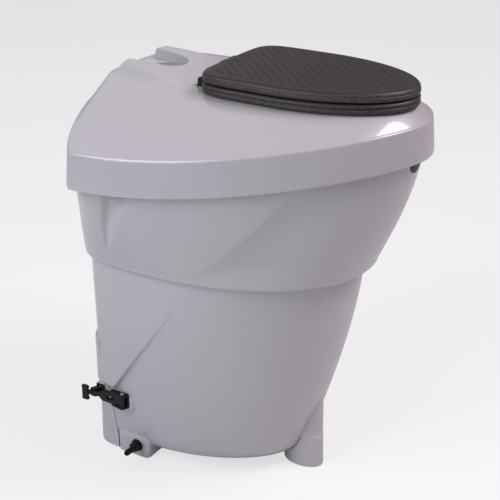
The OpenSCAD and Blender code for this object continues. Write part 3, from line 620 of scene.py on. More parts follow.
def bright_steel(rgb):
    s = Surface("plain stainless steel")
    brushed = s.noise(300.0, 3.0)
    cloud = s.noise(60.0, 2.0)
    s.set(Base_Color=s.blend(cloud, shade(rgb, 0.85), shade(rgb, 1.1)), Metallic=1.0,
          Roughness=0.24 + 0.14 * brushed, Normal=s.bump(brushed, 0.00002, 0.4))
    return s.material


FINISHES = {"shell_plastic": ("shell", shell_plastic), "seat_foam": ("seat", foam_skin),
            "dark_plastic": ("dark", dark_plastic), "strap_rubber": ("rubber", rubber),
            "seal_rubber": ("rubber", rubber), "inner_plastic": ("inner", inner_plastic),
            "insulation_foam": ("foam", insulation_foam), "steel": ("steel", bright_steel)}
made_finishes = {}


def material_for(slot):
    colour_name, make = FINISHES[slot]
    if colour_name not in made_finishes:
        rgb = tuple(getattr(bpy.context.scene.toilet_finish, colour_name))
        made_finishes[colour_name] = make(rgb)
    return made_finishes[colour_name]


# ---------------------------------------------------------------- shared lines of the body
COLS = 110                    # columns in half a ring of the cover
COVER_WIDE_Y = 229.0          # where the cover and the casing's rim are widest
CASING_WIDE_Y = 130.0         # the same for the casing's lower edge and the tank's rim
SEAT_WIDE_Y = -74.0           # the same for the seat, the lid and their platform
HOLE_WIDE_Y = -84.0           # the same for the opening
TANK_FOOT = 30.0              # height where the tank's taper ends


class Body:
    """Outlines that several pieces share, worked out from the sizes."""

    def __init__(self):
        cover, casing, tank = sizes("cover"), sizes("casing"), sizes("tank")
        self.cover_sizes, self.casing_sizes, self.tank_sizes = cover, casing, tank
        self.cover = Outline(cover.half_w, COVER_WIDE_Y, -cover.front, cover.rear, 1.8, 1.44, 1.72)
        self.plateau = Outline(cover.plateau_half_w, SEAT_WIDE_Y, -300, 320, 2, 7)
        self.opening = Outline(sizes("seat").hole_half_w + 4, HOLE_WIDE_Y, -262, 42, 2, 2.5)
        self.casing_low = Outline(casing.half_w, CASING_WIDE_Y, -230, 335, 2.05, 4)
        self.casing_top = Outline(cover.half_w - cover.overhang, COVER_WIDE_Y,
                                  -cover.front + cover.overhang + 2, cover.rear - cover.overhang,
                                  1.8, 1.41, 1.67)
        self.rim_h = casing.low_h + 23          # the tank's rim, inside the casing
        self.full_h = casing.low_h - 7          # where the tank's taper starts

    def skirt_z(self, x):
        c = self.cover_sizes
        return c.plate_h - c.skirt_drop - c.corner_drop * (np.abs(x) / c.half_w) ** 2.2

    def tank(self, z):
        """The tank's outline at height z."""
        t = self.tank_sizes
        k = max(0.0, 1 - (z - TANK_FOOT) / (self.full_h - TANK_FOOT))
        return Outline(t.half_w - t.taper * k ** 1.5, CASING_WIDE_Y + 60 * k,
                       -199 + 112 * k ** 1.5, 320 + 16 * k ** 3, 2.05 - 0.2 * k, 4.5 + 4 * k ** 3)

    def on_skirt(self, d, up):
        p = self.cover.inset(even(COLS), d)
        return whole(np.column_stack([p, self.skirt_z(p[:, 0]) + up]))

    def dome(self, u, d, up, inner, top, bend=1.4):
        """A ring a share u of the way from the skirt to the platform's edge."""
        a = self.cover.inset(even(COLS), d)
        b = self.plateau.inset(even(COLS), inner)
        z = self.skirt_z(a[:, 0]) + up
        p = mix(a, b, u)
        return whole(np.column_stack([p, mix(z, top, 1 - (1 - u) ** bend)]))


BACK_Y = 268.0                # flat rear bulkhead of the tank
SEAM_Y = 279.0                # side seam between the tank and the upper half of the hatch
SEAM_GAP = 2.8                # width of that seam
PIPE_Y = 233.0                # vent pipe's axis
SADDLE_END = 298.0            # rear end of the saddle's prongs
SADDLE_RISE = 21.0            # crest of the prongs above the platform
NOTCH_GAP = 1.5               # clearance round the vent pipe
HINGE_X, HINGE_Y = 70.0, 103.0


# ---------------------------------------------------------------- cover
def cover_outer_rings(body):
    """The skirt from its lower edge up, its rounded shoulder and the dome."""
    c = body.cover_sizes
    edge_r = 5.0
    rings = [body.on_skirt(2.4, 0), body.on_skirt(1.2, 0.4), body.on_skirt(0.4, 1.3),
             body.on_skirt(0, 3)]
    rings += [body.on_skirt(mix(0, c.lean, k), mix(3, c.skirt_h - edge_r, k))
              for k in np.linspace(0.15, 1, 7)]
    rings += [body.on_skirt(c.lean + edge_r * i, c.skirt_h - edge_r * (1 - u))
              for i, u in quarter(5)[1:-1]]
    rings += [body.dome(u, c.lean + edge_r, c.skirt_h, 0, c.plate_h)
              for u in np.linspace(0, 1, 46)[:-1] ** 1.15]
    return rings


def platform_rings(body):
    """The flat seat platform and the rounded rim of the opening."""
    c = body.cover_sizes
    edge, hole = body.plateau.inset(even(COLS)), body.opening.inset(even(COLS), -4)
    rings = [level_ring(mix(edge, hole, u), c.plate_h) for u in (0, 0.03, 0.1, 0.3, 0.6, 0.85, 1)]
    rings += [level_ring(body.opening.inset(even(COLS), -4 + 4 * u), c.plate_h - 4 * i)
              for i, u in quarter(4)[1:]]
    return rings


def build_cover(body):
    """The cover as one closed shell, with the holes for the vent pipe and the hinge bolts."""
    c = body.cover_sizes
    under = c.plate_h - 6

    def around_hole(d, z):
        return level_ring(body.opening.inset(even(COLS), d), z)
    rings = cover_outer_rings(body) + platform_rings(body)
    rings += [around_hole(0, c.plate_h - 22), around_hole(-5, c.plate_h - 22),
              around_hole(-5, under), level_ring(body.plateau.inset(even(COLS), 16), under)]
    rings += [body.dome(u, c.wall + 18, 64.5, 16, under) for u in np.linspace(1, 0, 16)[1:]]
    rings += [body.on_skirt(c.wall + c.lean, 64), body.on_skirt(c.wall, 0)]
    obj = mesh_object("top_cover_shell", *skin(rings, wrap=True))
    notch_r = c.pipe_d / 2 + NOTCH_GAP
    pipe_hole = Matrix.Translation((0, PIPE_Y, 0))
    tools = [cylinder("pipe_hole", notch_r, c.plate_h - 40, c.plate_h + 20, pipe_hole, 128)]
    for x in (-HINGE_X, HINGE_X):
        tools.append(cylinder("bolt_hole", 4.5, c.plate_h - 40, c.plate_h + 20,
                              Matrix.Translation((x, HINGE_Y, 0)), 32))
    carve(obj, tools)
    pipe_r, foot, top = c.pipe_d / 2, c.plate_h - 20, c.plate_h - 3
    boss = lathe("pipe_boss", [(notch_r, foot), (pipe_r + 14, foot), (pipe_r + 15, foot + 1),
                               (pipe_r + 15, top), (notch_r, top)], pipe_hole)
    return join(obj, [boss])


def saddle_solid(plate_h):
    """The saddle's plain block: a rounded crest that falls towards the hinge, on a wide foot."""
    top = plate_h + SADDLE_RISE
    cloud = (ball_points((52, SADDLE_END - 5, top - 6), 6, 28)
             + disc_points((91, SADDLE_END, plate_h - 8), 8, 4)
             + disc_points((102, 112, plate_h - 6), 8, 4))
    for k in np.linspace(0, 1, 9):
        cloud += ball_points((71 + 26 * k ** 1.6, SADDLE_END - 9 - 161 * k,
                              top - 5 - 20 * k ** 1.7), 5, 28)
    return hull("saddle_hull", mirrored(cloud))


def tree_of(obj):
    return BVHTree.FromObject(obj, bpy.context.evaluated_depsgraph_get())


def heights(tree, points, missing):
    """Height of a surface under each (x, y), in millimetres."""
    out = np.full(len(points), missing, float)
    down = Vector((0, 0, -1))
    for i, (x, y) in enumerate(points):
        hit = tree.ray_cast(Vector((x * MM, y * MM, 2.0)), down)[0]
        if hit is not None:
            out[i] = hit.z / MM
    return out


def notch_line(notch_r):
    """Points and outward normals along the notch's rim, from the right rear round to the left."""
    flare = 15 / (SADDLE_END + 60 - PIPE_Y)
    turn = math.acos(flare)
    tip = np.array([notch_r * math.sin(turn), PIPE_Y - notch_r * math.cos(turn)])
    normal = np.array([math.sin(turn), -math.cos(turn)])
    along = np.array([math.cos(turn), math.sin(turn)])
    flank = [tip + along * s for s in np.linspace(92, 2.2, 42)]
    arc = np.linspace(turn, -turn, 72)
    points = flank + [np.array([notch_r * math.sin(a), PIPE_Y - notch_r * math.cos(a)])
                      for a in arc]
    normals = [normal] * len(flank) + [np.array([math.sin(a), -math.cos(a)]) for a in arc]
    flip = np.array([-1, 1])
    points += [p * flip for p in flank[::-1]]
    normals += [normal * flip] * len(flank)
    return np.array(points), np.array(normals)


def build_saddle(body):
    """The raised block behind the seat, blended into the cover, with the open pipe notch."""
    c = body.cover_sizes
    solid = saddle_solid(c.plate_h)
    plain = mesh_object("plain_cover", *skin(cover_outer_rings(body) + platform_rings(body)[:7],
                                             cap_last=True))
    points, normals = notch_line(c.pipe_d / 2 + NOTCH_GAP)
    reach = np.concatenate([[0, 0.25, 0.6, 1.1, 1.7, 2.6], np.linspace(4.5, 132, 72)])
    plan = points[None] + normals[None] * reach[:, None, None]
    flat = plan.reshape(-1, 2)
    ground = heights(tree_of(plain), flat, c.plate_h - 60)
    raised = heights(tree_of(solid), flat, -1000.0)
    bpy.data.objects.remove(plain)
    bpy.data.objects.remove(solid)
    inside = np.minimum(86 - np.abs(flat[:, 0]), HINGE_Y + 13 - flat[:, 1])
    pocket = smooth(inside / 2.5)
    raised = np.maximum(raised, ground - 30)
    raised = mix(raised, ground - 12, pocket)
    blend = c.saddle_blend
    share = np.clip(0.5 + 0.5 * (raised - ground) / blend, 0, 1)
    z = mix(ground, raised, share) + blend * share * (1 - share) * 0.5
    z -= 1.1 * (1 - smooth(share / 0.06))
    z = z.reshape(plan.shape[:2])
    r = c.notch_round
    edge = np.clip(r - reach, 0, r)
    z -= (r - np.sqrt(np.maximum(r * r - edge * edge, 0)))[:, None]
    top = np.dstack([plan, z])
    low = np.minimum(c.plate_h - 3, z - 1.5)
    bottom = np.dstack([plan, low])
    verts, faces = grid_slab(top, bottom)
    return mesh_object("vent_saddle", verts, faces, outwards=True)


# ---------------------------------------------------------------- casing
CASING_COUNTS = (22, 44, 34, 12, 4, 40)      # columns between the creases, nose to rear


class Casing:
    """The flared collar's surface: columns follow its creases."""

    def __init__(self, body):
        self.body, self.c = body, body.casing_sizes

    def level(self, h):
        """The casing's outline at a share h of its height."""
        return self.body.casing_low.mixed(self.body.casing_top, math.sin(math.pi / 2 * h))

    def stops(self, s, h):
        """Angles of the scoop's and the recess's ends at a share h of the casing's height."""
        front = s.values[2]
        edge, size = 216 - 55 * h, span(h, 0.11, 0.75)
        rows = (front + 6 + 38 * math.sin(math.pi * h ** 0.8),
                30 - 205 * span(h, 0.05, 0.78) ** 0.8, edge - 12 - 56 * size,
                edge - 3 - 18 * size, edge)
        return [-math.pi / 2] + [s.angle_at(y) for y in rows] + [math.pi / 2]

    def angles(self, s, h):
        a = self.stops(s, h)
        out = [a[0]]
        for k, n in enumerate(CASING_COUNTS):
            out += [mix(a[k], a[k + 1], (i + 1) / n) for i in range(n)]
        return np.array(out)

    def dent(self, s, h, t):
        """Depth of the scoop and the recess at angles t."""
        a = self.stops(s, h)
        size = span(h, 0.11, 0.75)
        u = np.clip((t - a[1]) / (a[2] - a[1]), 0, 1)
        scoop = (self.c.scoop * np.sin(math.pi * u ** 1.3) * (0.5 + 0.5 * u) * (1 - 0.55 * h)
                 * span(h, 0, 0.15))
        fade = np.clip((t - a[3]) / (a[4] - a[3]), 0, 1)
        step = np.clip((a[5] - t) / (a[5] - a[4]), 0, 1)
        recess = self.c.recess * size * np.minimum(smooth(fade), smooth(step))
        dent = scoop + recess
        dent[1:-1] = 0.25 * dent[:-2] + 0.5 * dent[1:-1] + 0.25 * dent[2:]
        return dent

    def z(self, x, h):
        return mix(self.c.low_h + self.c.edge_r, self.body.skirt_z(x) + 58, h)

    def ring(self, h, d):
        s = self.level(h)
        t = self.angles(s, h)
        p = s.inset(t, d + self.dent(s, h, t))
        return whole(np.column_stack([p, self.z(p[:, 0], h)]))


def build_casing(body):
    casing, c = Casing(body), body.casing_sizes
    wall = body.cover_sizes.wall
    low = casing.angles(body.casing_low, 0)
    rings = [level_ring(body.casing_low.inset(low, c.edge_r * (1 - math.sin(a))),
                        c.low_h + c.edge_r * (1 - math.cos(a)))
             for a in np.linspace(0.15, math.pi / 2, 7)[:-1]]
    rings += [casing.ring(h, 0) for h in np.linspace(0, 1, 50)]
    rings += [casing.ring(h, wall) for h in np.linspace(1, 0.12, 24)]
    tank = body.tank(body.rim_h)
    rings += [level_ring(tank.inset(low, d), z) for d, z in
              ((-9, body.rim_h + 26), (-7, body.rim_h + 8), (14, body.rim_h + 8),
               (14, body.rim_h + 0.3), (-1.2, body.rim_h + 0.3), (-1.2, c.low_h + 1.2),
               (-2.4, c.low_h))]
    return mesh_object("upper_casing_shell", *skin(rings, wrap=True))


# ---------------------------------------------------------------- tank
PANEL_TOP = 424.0             # upper end of the raised side panel's edge
DRAIN = (-184, 213, 34)       # outer end of the drain boss
PORT = (115.0, 62.0, 222.0)   # half width, foot and top of the emptying port


class Tank:
    """The tank's outside with its raised side panel, in columns that follow the panel's edge."""

    counts = (66, 6, 22, 2, 18)     # nose to panel, its edge, panel, wing's end, bulkhead

    def __init__(self, body):
        self.body, self.t = body, body.tank_sizes
        self.panel_low = self.t.latch_h + 28

    def panel_rise(self, z):
        """How far the side panel stands out at height z."""
        k = min(1.0, max(0.0, (PANEL_TOP - z) / (PANEL_TOP - self.panel_low)))
        return self.t.panel_proud * k * float(smooth((z - self.panel_low + 7) / 12))

    def ring(self, z, d, at_z, wing=True, raised=True):
        """The outline of height z moved inwards by d and set at at_z: the side wings reach past
        the bulkhead where the upper half of the hatch sits between them."""
        s, t = self.body.tank(z), self.t
        edge_y = 60 + (PANEL_TOP - min(max(z, self.panel_low), PANEL_TOP)) / 1.36
        lower, upper = z < self.panel_low - 3, z > t.hatch_top + 1
        end_y = SEAM_Y - SEAM_GAP if wing and not lower and not upper else BACK_Y - d * (not wing)
        a = s.angle_at(edge_y)
        b = s.inset_angle_at(edge_y + 9, d)
        c = s.inset_angle_at(BACK_Y if upper else end_y, d)
        angles = np.concatenate([np.linspace(-math.pi / 2, a, self.counts[0] + 1),
                                 np.linspace(a, b, self.counts[1] + 1)[1:],
                                 np.linspace(b, c, self.counts[2] + 1)[1:]])
        rise = np.zeros(len(angles))
        if raised:
            first = self.counts[0]
            rise[first:first + self.counts[1] + 1] = smooth(np.linspace(0, 1, self.counts[1] + 1))
            rise[first + self.counts[1]:] = 1
            rise *= self.panel_rise(z)
        if upper:
            rest = np.linspace(c, math.pi / 2, self.counts[3] + self.counts[4] + 1)[1:]
            fade = self.panel_rise(z) * raised * (1 - smooth((rest - c) / 0.35))
            points = s.inset(np.concatenate([angles, rest]), d - np.concatenate([rise, fade]))
            return level_ring(points, at_z)
        points = s.inset(angles, d - rise)
        points[-1, 1] = end_y
        x, depth = points[-1, 0], self.body.cover_sizes.wall * 0.6
        inner = [(x - 1.5, end_y), (x - 3.0, end_y)]
        if end_y > BACK_Y:
            x = x - depth - self.panel_rise(z)
            inner = [(x, end_y), (x, BACK_Y)]
        last = inner[-1][0]
        back = [(last * (1 - k / self.counts[4]), inner[-1][1])
                for k in range(1, self.counts[4] + 1)]
        return level_ring(np.concatenate([points, inner, back]), at_z)

    def belly(self, a, d=0.0, **how):
        """Ring of the turn-under, a from 0 at the side to 90 degrees underneath."""
        t = self.t
        z = t.belly_h + t.belly_r * (1 - math.sin(a)) + d * math.sin(a)
        return self.ring(z, t.belly_r * (1 - math.cos(a)) + d, z, **how)

    def core(self, name, d):
        """A plain solid of the tank's lower half, moved inwards by d, for trimming."""
        t = self.t
        rings = [self.belly(a, d, wing=False, raised=False)
                 for a in np.radians([84, 66, 48, 30, 12])]
        rings += [self.ring(z, d, z, wing=False, raised=False)
                  for z in np.linspace(t.belly_h + t.belly_r, t.hatch_top - 2, 14)]
        return hull(name, np.concatenate(rings))


FOOT_Y, FOOT_HALF_W, FOOT_HALF_L = -93.0, 28.0, 45.0
FOOT_SEAM = 72.0              # height of the seam between the leg and the front foot


def oval_ring(grow, z, shrink=1.0, n=96):
    """A level oval of the front leg."""
    a = np.arange(n) * TAU / n
    return np.column_stack([(FOOT_HALF_W + grow) * shrink * np.cos(a),
                            FOOT_Y + (FOOT_HALF_L + grow) * shrink * np.sin(a), np.full(n, z)])


def build_tank(body):
    """The tank as one closed shell, with its leg, drain boss, foot blocks and latch pads."""
    tank, t = Tank(body), body.tank_sizes
    wall = body.cover_sizes.wall
    side = t.belly_h + t.belly_r
    low = tank.panel_low
    rows = np.concatenate([np.linspace(side, low - 16, 12)[1:], low + np.arange(-14, 12, 2.0),
                           np.linspace(low + 16, t.hatch_top - 1, 12)])
    rings = [tank.belly(a) for a in np.radians([88, 78, 68, 58, 48, 38, 28, 18, 9, 0])]
    rings += [tank.ring(z, 0, z) for z in rows]
    rings += [tank.ring(t.hatch_top + 0.9, 0, t.hatch_top + 0.9)]
    rings += [tank.ring(z, 0, z) for z in np.linspace(t.hatch_top + 1.6, body.rim_h, 24)]
    plain = {"wing": False, "raised": False}
    rings += [tank.ring(z, wall, z, **plain)
              for z in np.linspace(body.rim_h, t.hatch_top + 9, 8)]
    rings += [tank.ring(z, wall, z + (wall if z > t.hatch_top - 5 else 0), **plain)
              for z in np.linspace(t.hatch_top + 1, side, 10)]
    rings += [tank.belly(a, wall, **plain) for a in np.radians([20, 45, 70, 86])]
    shell = mesh_object("tank_shell", *skin(rings, cap_first=True, cap_last=True))
    pad_x, pad_y = round(body.tank(t.latch_h + 9).values[0]), (210.0, 264.0)
    drain = Matrix.Translation(DRAIN) @ Euler((0, -math.pi / 2, 0)).to_matrix().to_4x4()

    def port_way():
        half_w, foot, top = PORT
        return cuboid("port", (-half_w, BACK_Y - 30, foot), (half_w, BACK_Y + 10, top))
    tools = [port_way(), cylinder("drain_hole", 7.65, -40, 20, drain, 48)]
    for side_x in (-1, 1):
        xs = sorted((side_x * pad_x, side_x * (pad_x + 20)))
        tools.append(cuboid("latch_seat", (xs[0], pad_y[0] - 1, t.latch_h - 19),
                            (xs[1], pad_y[1] + 1, t.latch_h + 19)))
    carve(shell, tools)
    extras = [mesh_object("leg", *skin([oval_ring(-2, z, mix(1, 0.98, (z - FOOT_SEAM) / 118))
                                        for z in np.linspace(FOOT_SEAM, 190, 10)],
                                       cap_first=True, cap_last=True)),
              round_edges(cylinder("drain_boss", 15, -30, 0, drain, 64), 1.6, 4)]
    for k in (-1, 1):
        cloud = [q for x in (108, 169) for y in (199, BACK_Y - 8.4)
                 for q in disc_points((x, y, 3), 9, 1)]
        cloud += [q for x, z in ((108, 84), (168, 84), (170, 40))
                  for y in (206 - 0.2 * z, BACK_Y - 9.4)
                  for q in disc_points((x, y, z), 10, 1)]
        block = hull("foot_block", [(k * x, y, z) for x, y, z in cloud])
        extras.append(round_edges(block, 6.0, 6, 30))
        x0, x1 = pad_x - 24, pad_x
        pad = tapered_block("latch_pad", k, (
            (x0, (pad_y[0] - 10, pad_y[1]), (t.latch_h - 32, t.latch_h + 22)),
            (x1, pad_y, (t.latch_h - 20, t.latch_h + 20))))
        extras.append(round_edges(pad, 2.0, 3, 12))
    for extra in extras:
        carve(extra, [tank.core("tank_core", wall / 2), port_way()])
    return join(shell, extras)


def build_foot(body):
    rings = [oval_ring(-1 - 2.5 * (1 - math.sin(a)), 2.5 * (1 - math.cos(a)))
             for a in np.linspace(0.2, math.pi / 2, 5)]
    rings += [oval_ring(mix(-1, 0, k), mix(2.5, 5, k)) for k in (0.5, 1.0)]
    rings += [oval_ring(0, z, mix(1, 0.97, (z - 5) / (FOOT_SEAM - 5)))
              for z in np.linspace(12, FOOT_SEAM - 1.6, 8)]
    rings += [oval_ring(-1.6 * i, FOOT_SEAM - 1.6 * (1 - u), 0.97) for i, u in quarter(4)[1:]]
    foot = mesh_object("front_foot_cup", *skin(rings, cap_first=True, cap_last=True))
    return carve(foot, [Tank(body).core("tank_core", -1.4)])


# ---------------------------------------------------------------- hatch
HATCH_FOOT = 3.0              # clearance under the hatch
HATCH_WALL = 5.0


def hatch_block(body, name, grow, y0, z0, z1, edge_r, cols=64):
    """What the tank's outline holds behind y0, between two heights, grown by a given amount."""
    t = body.tank_sizes
    step = t.latch_h + 22
    levels = [(z0 + edge_r * (1 - math.cos(a)), edge_r * (1 - math.sin(a)))
              for a in np.linspace(0, math.pi / 2, 7)]
    levels += [(z, 0.0) for z in np.linspace(z0 + edge_r, z1 - edge_r, 40)[1:-1]]
    levels += [(z1 - edge_r * (1 - math.sin(a)), edge_r * (1 - math.cos(a)))
               for a in np.linspace(0, math.pi / 2, 7)]
    rings = []
    for z, inward in levels:
        s = body.tank(max(z, 40))
        out = t.hatch_proud * float(smooth((z - step + 1) / 6)) + grow - inward
        a = s.inset_angle_at(y0, -out)
        ring = s.inset(np.linspace(a, math.pi / 2, cols // 2 + 1), -out)
        ring[0, 1] = y0
        ring[-1, 0] = 0
        both = np.concatenate([ring, ring[-2::-1] * np.array([-1, 1])])
        rings.append(np.column_stack([both, np.full(len(both), z)]))
    return mesh_object(name, *skin(rings, cap_first=True, cap_last=True))


def build_hatch(body):
    t = body.tank_sizes
    wall, y0 = HATCH_WALL, BACK_Y + 1.8
    shell = hatch_block(body, "hatch_shell_skin", 0, y0, HATCH_FOOT, t.hatch_top - 1, 6)
    hollow = hatch_block(body, "hollow", -wall, BACK_Y - 4, HATCH_FOOT + wall,
                         t.hatch_top - 1 - wall, 3)
    tools = [hollow]
    for k in (-1, 1):
        xs = sorted((k * 150, k * 235))
        tools.append(cuboid("seam", (xs[0], BACK_Y - 5, t.latch_h + 26),
                            (xs[1], SEAM_Y, t.hatch_top + 20)))
    carve(shell, tools)
    bosses = []
    keeper_x = round(body.tank(t.latch_h + 9).values[0]) - 6
    for k in (-1, 1):
        boss = tapered_block("keeper_boss", k, (
            (keeper_x - 19, (282, 308), (t.latch_h - 22, t.latch_h + 20)),
            (keeper_x, (286, 306), (t.latch_h - 18, t.latch_h + 18))))
        bosses.append(round_edges(boss, 1.5, 3, 12))
    return join(shell, bosses)


# ---------------------------------------------------------------- seat and lid
SEAT_COLS = 120               # columns in half a ring of the seat
SEAT_REAR = 90.0
DIMPLE_FIELD = 0.885          # share of the lid's outline that holds dimples
DIMPLE_MARGIN = 26.0          # plain strip along the lid's hinge edge


def seat_lines():
    """Outer line and hole of the seat, and the heights of the seat's and the lid's undersides."""
    seat, cover = sizes("seat"), sizes("cover")
    outer = Outline(seat.half_w, SEAT_WIDE_Y, SEAT_REAR - seat.length, SEAT_REAR, 1.95, 6)
    hole = Outline(seat.hole_half_w, HOLE_WIDE_Y, -258, 38, 2, 2.6)
    seat_z = cover.plate_h + 1.5
    return outer, hole, seat_z, seat_z + seat.seat_t + 0.9


def rounded_profile(points, radii, steps=4):
    """A polyline whose corners are rounded by the given radii."""
    out = [points[0]]
    for k in range(1, len(points) - 1):
        p, a, b = (np.array(points[i], float) for i in (k, k - 1, k + 1))
        la, lb = np.linalg.norm(a - p), np.linalg.norm(b - p)
        r = min(radii[k], la * 0.49, lb * 0.49)
        if r <= 0:
            out.append(tuple(p))
            continue
        start, stop = p + (a - p) / la * r, p + (b - p) / lb * r
        for u in np.linspace(0, 1, steps + 1):
            out.append(tuple((1 - u) ** 2 * start + 2 * u * (1 - u) * p + u * u * stop))
    out.append(points[-1])
    return out


def pad_rings(outline, profile, z):
    """Rings of a profile of (inward, upward) points swept round the outline."""
    return [level_ring(outline.inset(even(SEAT_COLS), d), z + h) for d, h in profile]


def build_seat_ring():
    seat = sizes("seat")
    outer, hole, z, _ = seat_lines()
    t = seat.seat_t
    rim = rounded_profile([(12, 0), (3.5, 0), (0, 3.5), (0, t - 11.2), (2.2, t - 10), (2.2, t - 8),
                           (0, t - 6.8), (0, t - 4), (3.5, t), (14, t)],
                          [0, 2, 2, 1.5, 0.8, 0.8, 1.2, 2, 2.5, 0])
    inner = rounded_profile([(-12, t), (-5, t), (0, t - 5), (0, 4), (-4, 0), (-8, 0)],
                            [0, 3, 3, 2, 2, 0])
    return mesh_object("foam_seat", *skin(pad_rings(outer, rim, z) + pad_rings(hole, inner, z),
                                          wrap=True))


def lid_grid(outer, inset):
    """Points inside the lid's edge: a ring of points for each dimple and a loose fill between."""
    seat = sizes("seat")
    edge = outer.inset(even(SEAT_COLS), inset)
    ring = whole(np.column_stack([edge, np.zeros(len(edge))]))[:, :2]
    half_w, wide, front, rear, n_front, n_rear, n_side = outer.values

    def share(x, y):
        n = np.where(y > wide, n_rear, n_front)
        reach = np.where(y > wide, rear - wide, wide - front)
        return (np.abs(x / half_w) ** n + np.abs((y - wide) / reach) ** n) ** (1 / n)
    px, py = seat.pitch_x, seat.pitch_y
    centres = []
    for j in range(-40, 40):
        for i in range(-12, 13):
            centres.append(((i + 0.5 * (j % 2)) * px, wide + j * py))
    centres = np.array(centres)
    inside = share(centres[:, 0], centres[:, 1]) < DIMPLE_FIELD
    keep = centres[inside & (centres[:, 1] < rear - DIMPLE_MARGIN)]
    cloud = [keep]
    for r, n, twist in ((0.42, 6, 0.0), (0.8, 10, 0.3), (1.12, 12, 0.0)):
        a = np.arange(n) * TAU / n + twist
        around = np.column_stack([np.cos(a), np.sin(a)]) * r * seat.dimple_r
        cloud.append((keep[:, None] + around[None]).reshape(-1, 2))
    gap = np.column_stack([keep[:, 0] + px / 2, keep[:, 1]])
    cloud.append(gap[share(gap[:, 0], gap[:, 1]) < 0.93])
    for k in (0.965, 0.93):
        band = ring * k + (1 - k) * np.array([0, wide])
        cloud.append(band[::2])
    return ring, keep, np.concatenate(cloud), share


def dimple_tree():
    """Geometry nodes that press a dimple into the skin round each marked centre."""
    tree = bpy.data.node_groups.new("lid dimples", "GeometryNodeTree")
    tree.interface.new_socket("Geometry", in_out="INPUT", socket_type="NodeSocketGeometry")
    for name, default in (("Radius", 0.0034), ("Depth", 0.0011)):
        socket = tree.interface.new_socket(name, in_out="INPUT", socket_type="NodeSocketFloat")
        socket.default_value = default
    tree.interface.new_socket("Skin", in_out="INPUT", socket_type="NodeSocketMaterial")
    tree.interface.new_socket("Geometry", in_out="OUTPUT", socket_type="NodeSocketGeometry")
    nodes, link = tree.nodes, tree.links.new
    source, result = nodes.new("NodeGroupInput"), nodes.new("NodeGroupOutput")
    reach = nodes.new("GeometryNodeInputNamedAttribute")
    reach.data_type = "FLOAT"
    reach.inputs["Name"].default_value = "dimple_reach"

    def maths(operation, first, second):
        node = nodes.new("ShaderNodeMath")
        node.operation = operation
        for socket, value in zip(node.inputs, (first, second)):
            if isinstance(value, (int, float)):
                socket.default_value = value
            else:
                link(value, socket)
        return node.outputs[0]
    share = maths("DIVIDE", reach.outputs["Attribute"], source.outputs["Radius"])
    near = maths("MAXIMUM", maths("SUBTRACT", 1.0, maths("MULTIPLY", share, share)), 0.0)
    depth = maths("MULTIPLY", maths("POWER", near, 0.8), source.outputs["Depth"])
    offset = nodes.new("ShaderNodeCombineXYZ")
    link(maths("MULTIPLY", depth, -1.0), offset.inputs["Z"])
    press = nodes.new("GeometryNodeSetPosition")
    link(source.outputs["Geometry"], press.inputs["Geometry"])
    link(offset.outputs[0], press.inputs["Offset"])
    realize = nodes.new("GeometryNodeRealizeInstances")
    link(press.outputs[0], realize.inputs[0])
    paint = nodes.new("GeometryNodeSetMaterial")
    link(realize.outputs[0], paint.inputs["Geometry"])
    link(source.outputs["Skin"], paint.inputs["Material"])
    link(paint.outputs[0], result.inputs[0])
    return tree


def grow(obj, tree, **values):
    """Runs a geometry node tree on obj, with its inputs set by identifier, and keeps the mesh."""
    modifier = obj.modifiers.new(tree.name, "NODES")
    modifier.node_group = tree
    for item in tree.interface.items_tree:
        if item.in_out == "INPUT" and item.name in values:
            modifier[item.identifier] = values[item.name]
    return settle(obj)


def build_lid():
    seat = sizes("seat")
    outer, _, _, z = seat_lines()
    t, flat = seat.lid_t, 10.0
    rim = rounded_profile([(14, 0), (5, 0), (0, 3.2), (0, 9.5), (1.3, 10.6), (0.9, 12.0),
                           (1.6, t - 4.0), (5.6, t - 0.5), (flat, t)],
                          [0, 3, 2.5, 0.8, 0.6, 1.0, 3.0, 3.0, 0])
    rings = pad_rings(outer, rim, z)
    verts, faces = skin(rings, cap_first=True)
    ring, centres, cloud, share = lid_grid(outer, flat)
    plan = [Vector(p) for p in ring] + [Vector(p) for p in cloud]
    n = len(ring)
    out = delaunay_2d_cdt(plan, [(i, (i + 1) % n) for i in range(n)], [], 1, 0.001)
    points = np.array([tuple(p) for p in out[0]])
    reach = np.min(np.hypot(points[:, None, 0] - centres[None, :, 0],
                            points[:, None, 1] - centres[None, :, 1]), axis=1)
    crown = seat.crown * np.maximum(0, 1 - share(points[:, 0], points[:, 1]) ** 2 / 0.86) ** 0.8
    top = np.column_stack([points, z + t + crown])
    base = len(verts)
    top_faces = []
    for face in out[2]:
        a, b, c = (points[i] for i in face[:3])
        turn = (b[0] - a[0]) * (c[1] - a[1]) - (b[1] - a[1]) * (c[0] - a[0])
        top_faces.append(tuple(base + i for i in (face if turn > 0 else face[::-1])))
    obj = mesh_object("foam_lid", np.concatenate([verts, top]), faces + top_faces)
    mark = obj.data.attributes.new("dimple_reach", "FLOAT", "POINT")
    mark.data.foreach_set("value", np.concatenate([np.full(base, 1.0), reach * MM]))
    grow(obj, dimple_tree(), Radius=seat.dimple_r * MM, Depth=seat.dimple_depth * MM,
         Skin=material_for("seat_foam"))
    with edited(obj.data) as work:
        bmesh.ops.remove_doubles(work, verts=work.verts, dist=0.02 * MM)
    mark = obj.data.attributes["dimple_reach"]
    reach = np.zeros(len(obj.data.vertices))
    mark.data.foreach_get("value", reach)
    obj.data.attributes.remove(mark)
    # This mark is 1 in the dimples' hollows. It paints shade into them and roughens them in the
    # foam's finish.
    dark = obj.data.attributes.new("dimple", "FLOAT", "POINT")
    dark.data.foreach_set("value", np.clip(1.3 - reach / (seat.dimple_r * MM), 0, 1))
    return obj


# ---------------------------------------------------------------- operators
class ToiletStep(bpy.types.Operator):
    """Shared parts of the building steps"""
    bl_options = {"REGISTER", "UNDO"}

    def execute(self, context):
        self.build(Body())
        return {"FINISHED"}


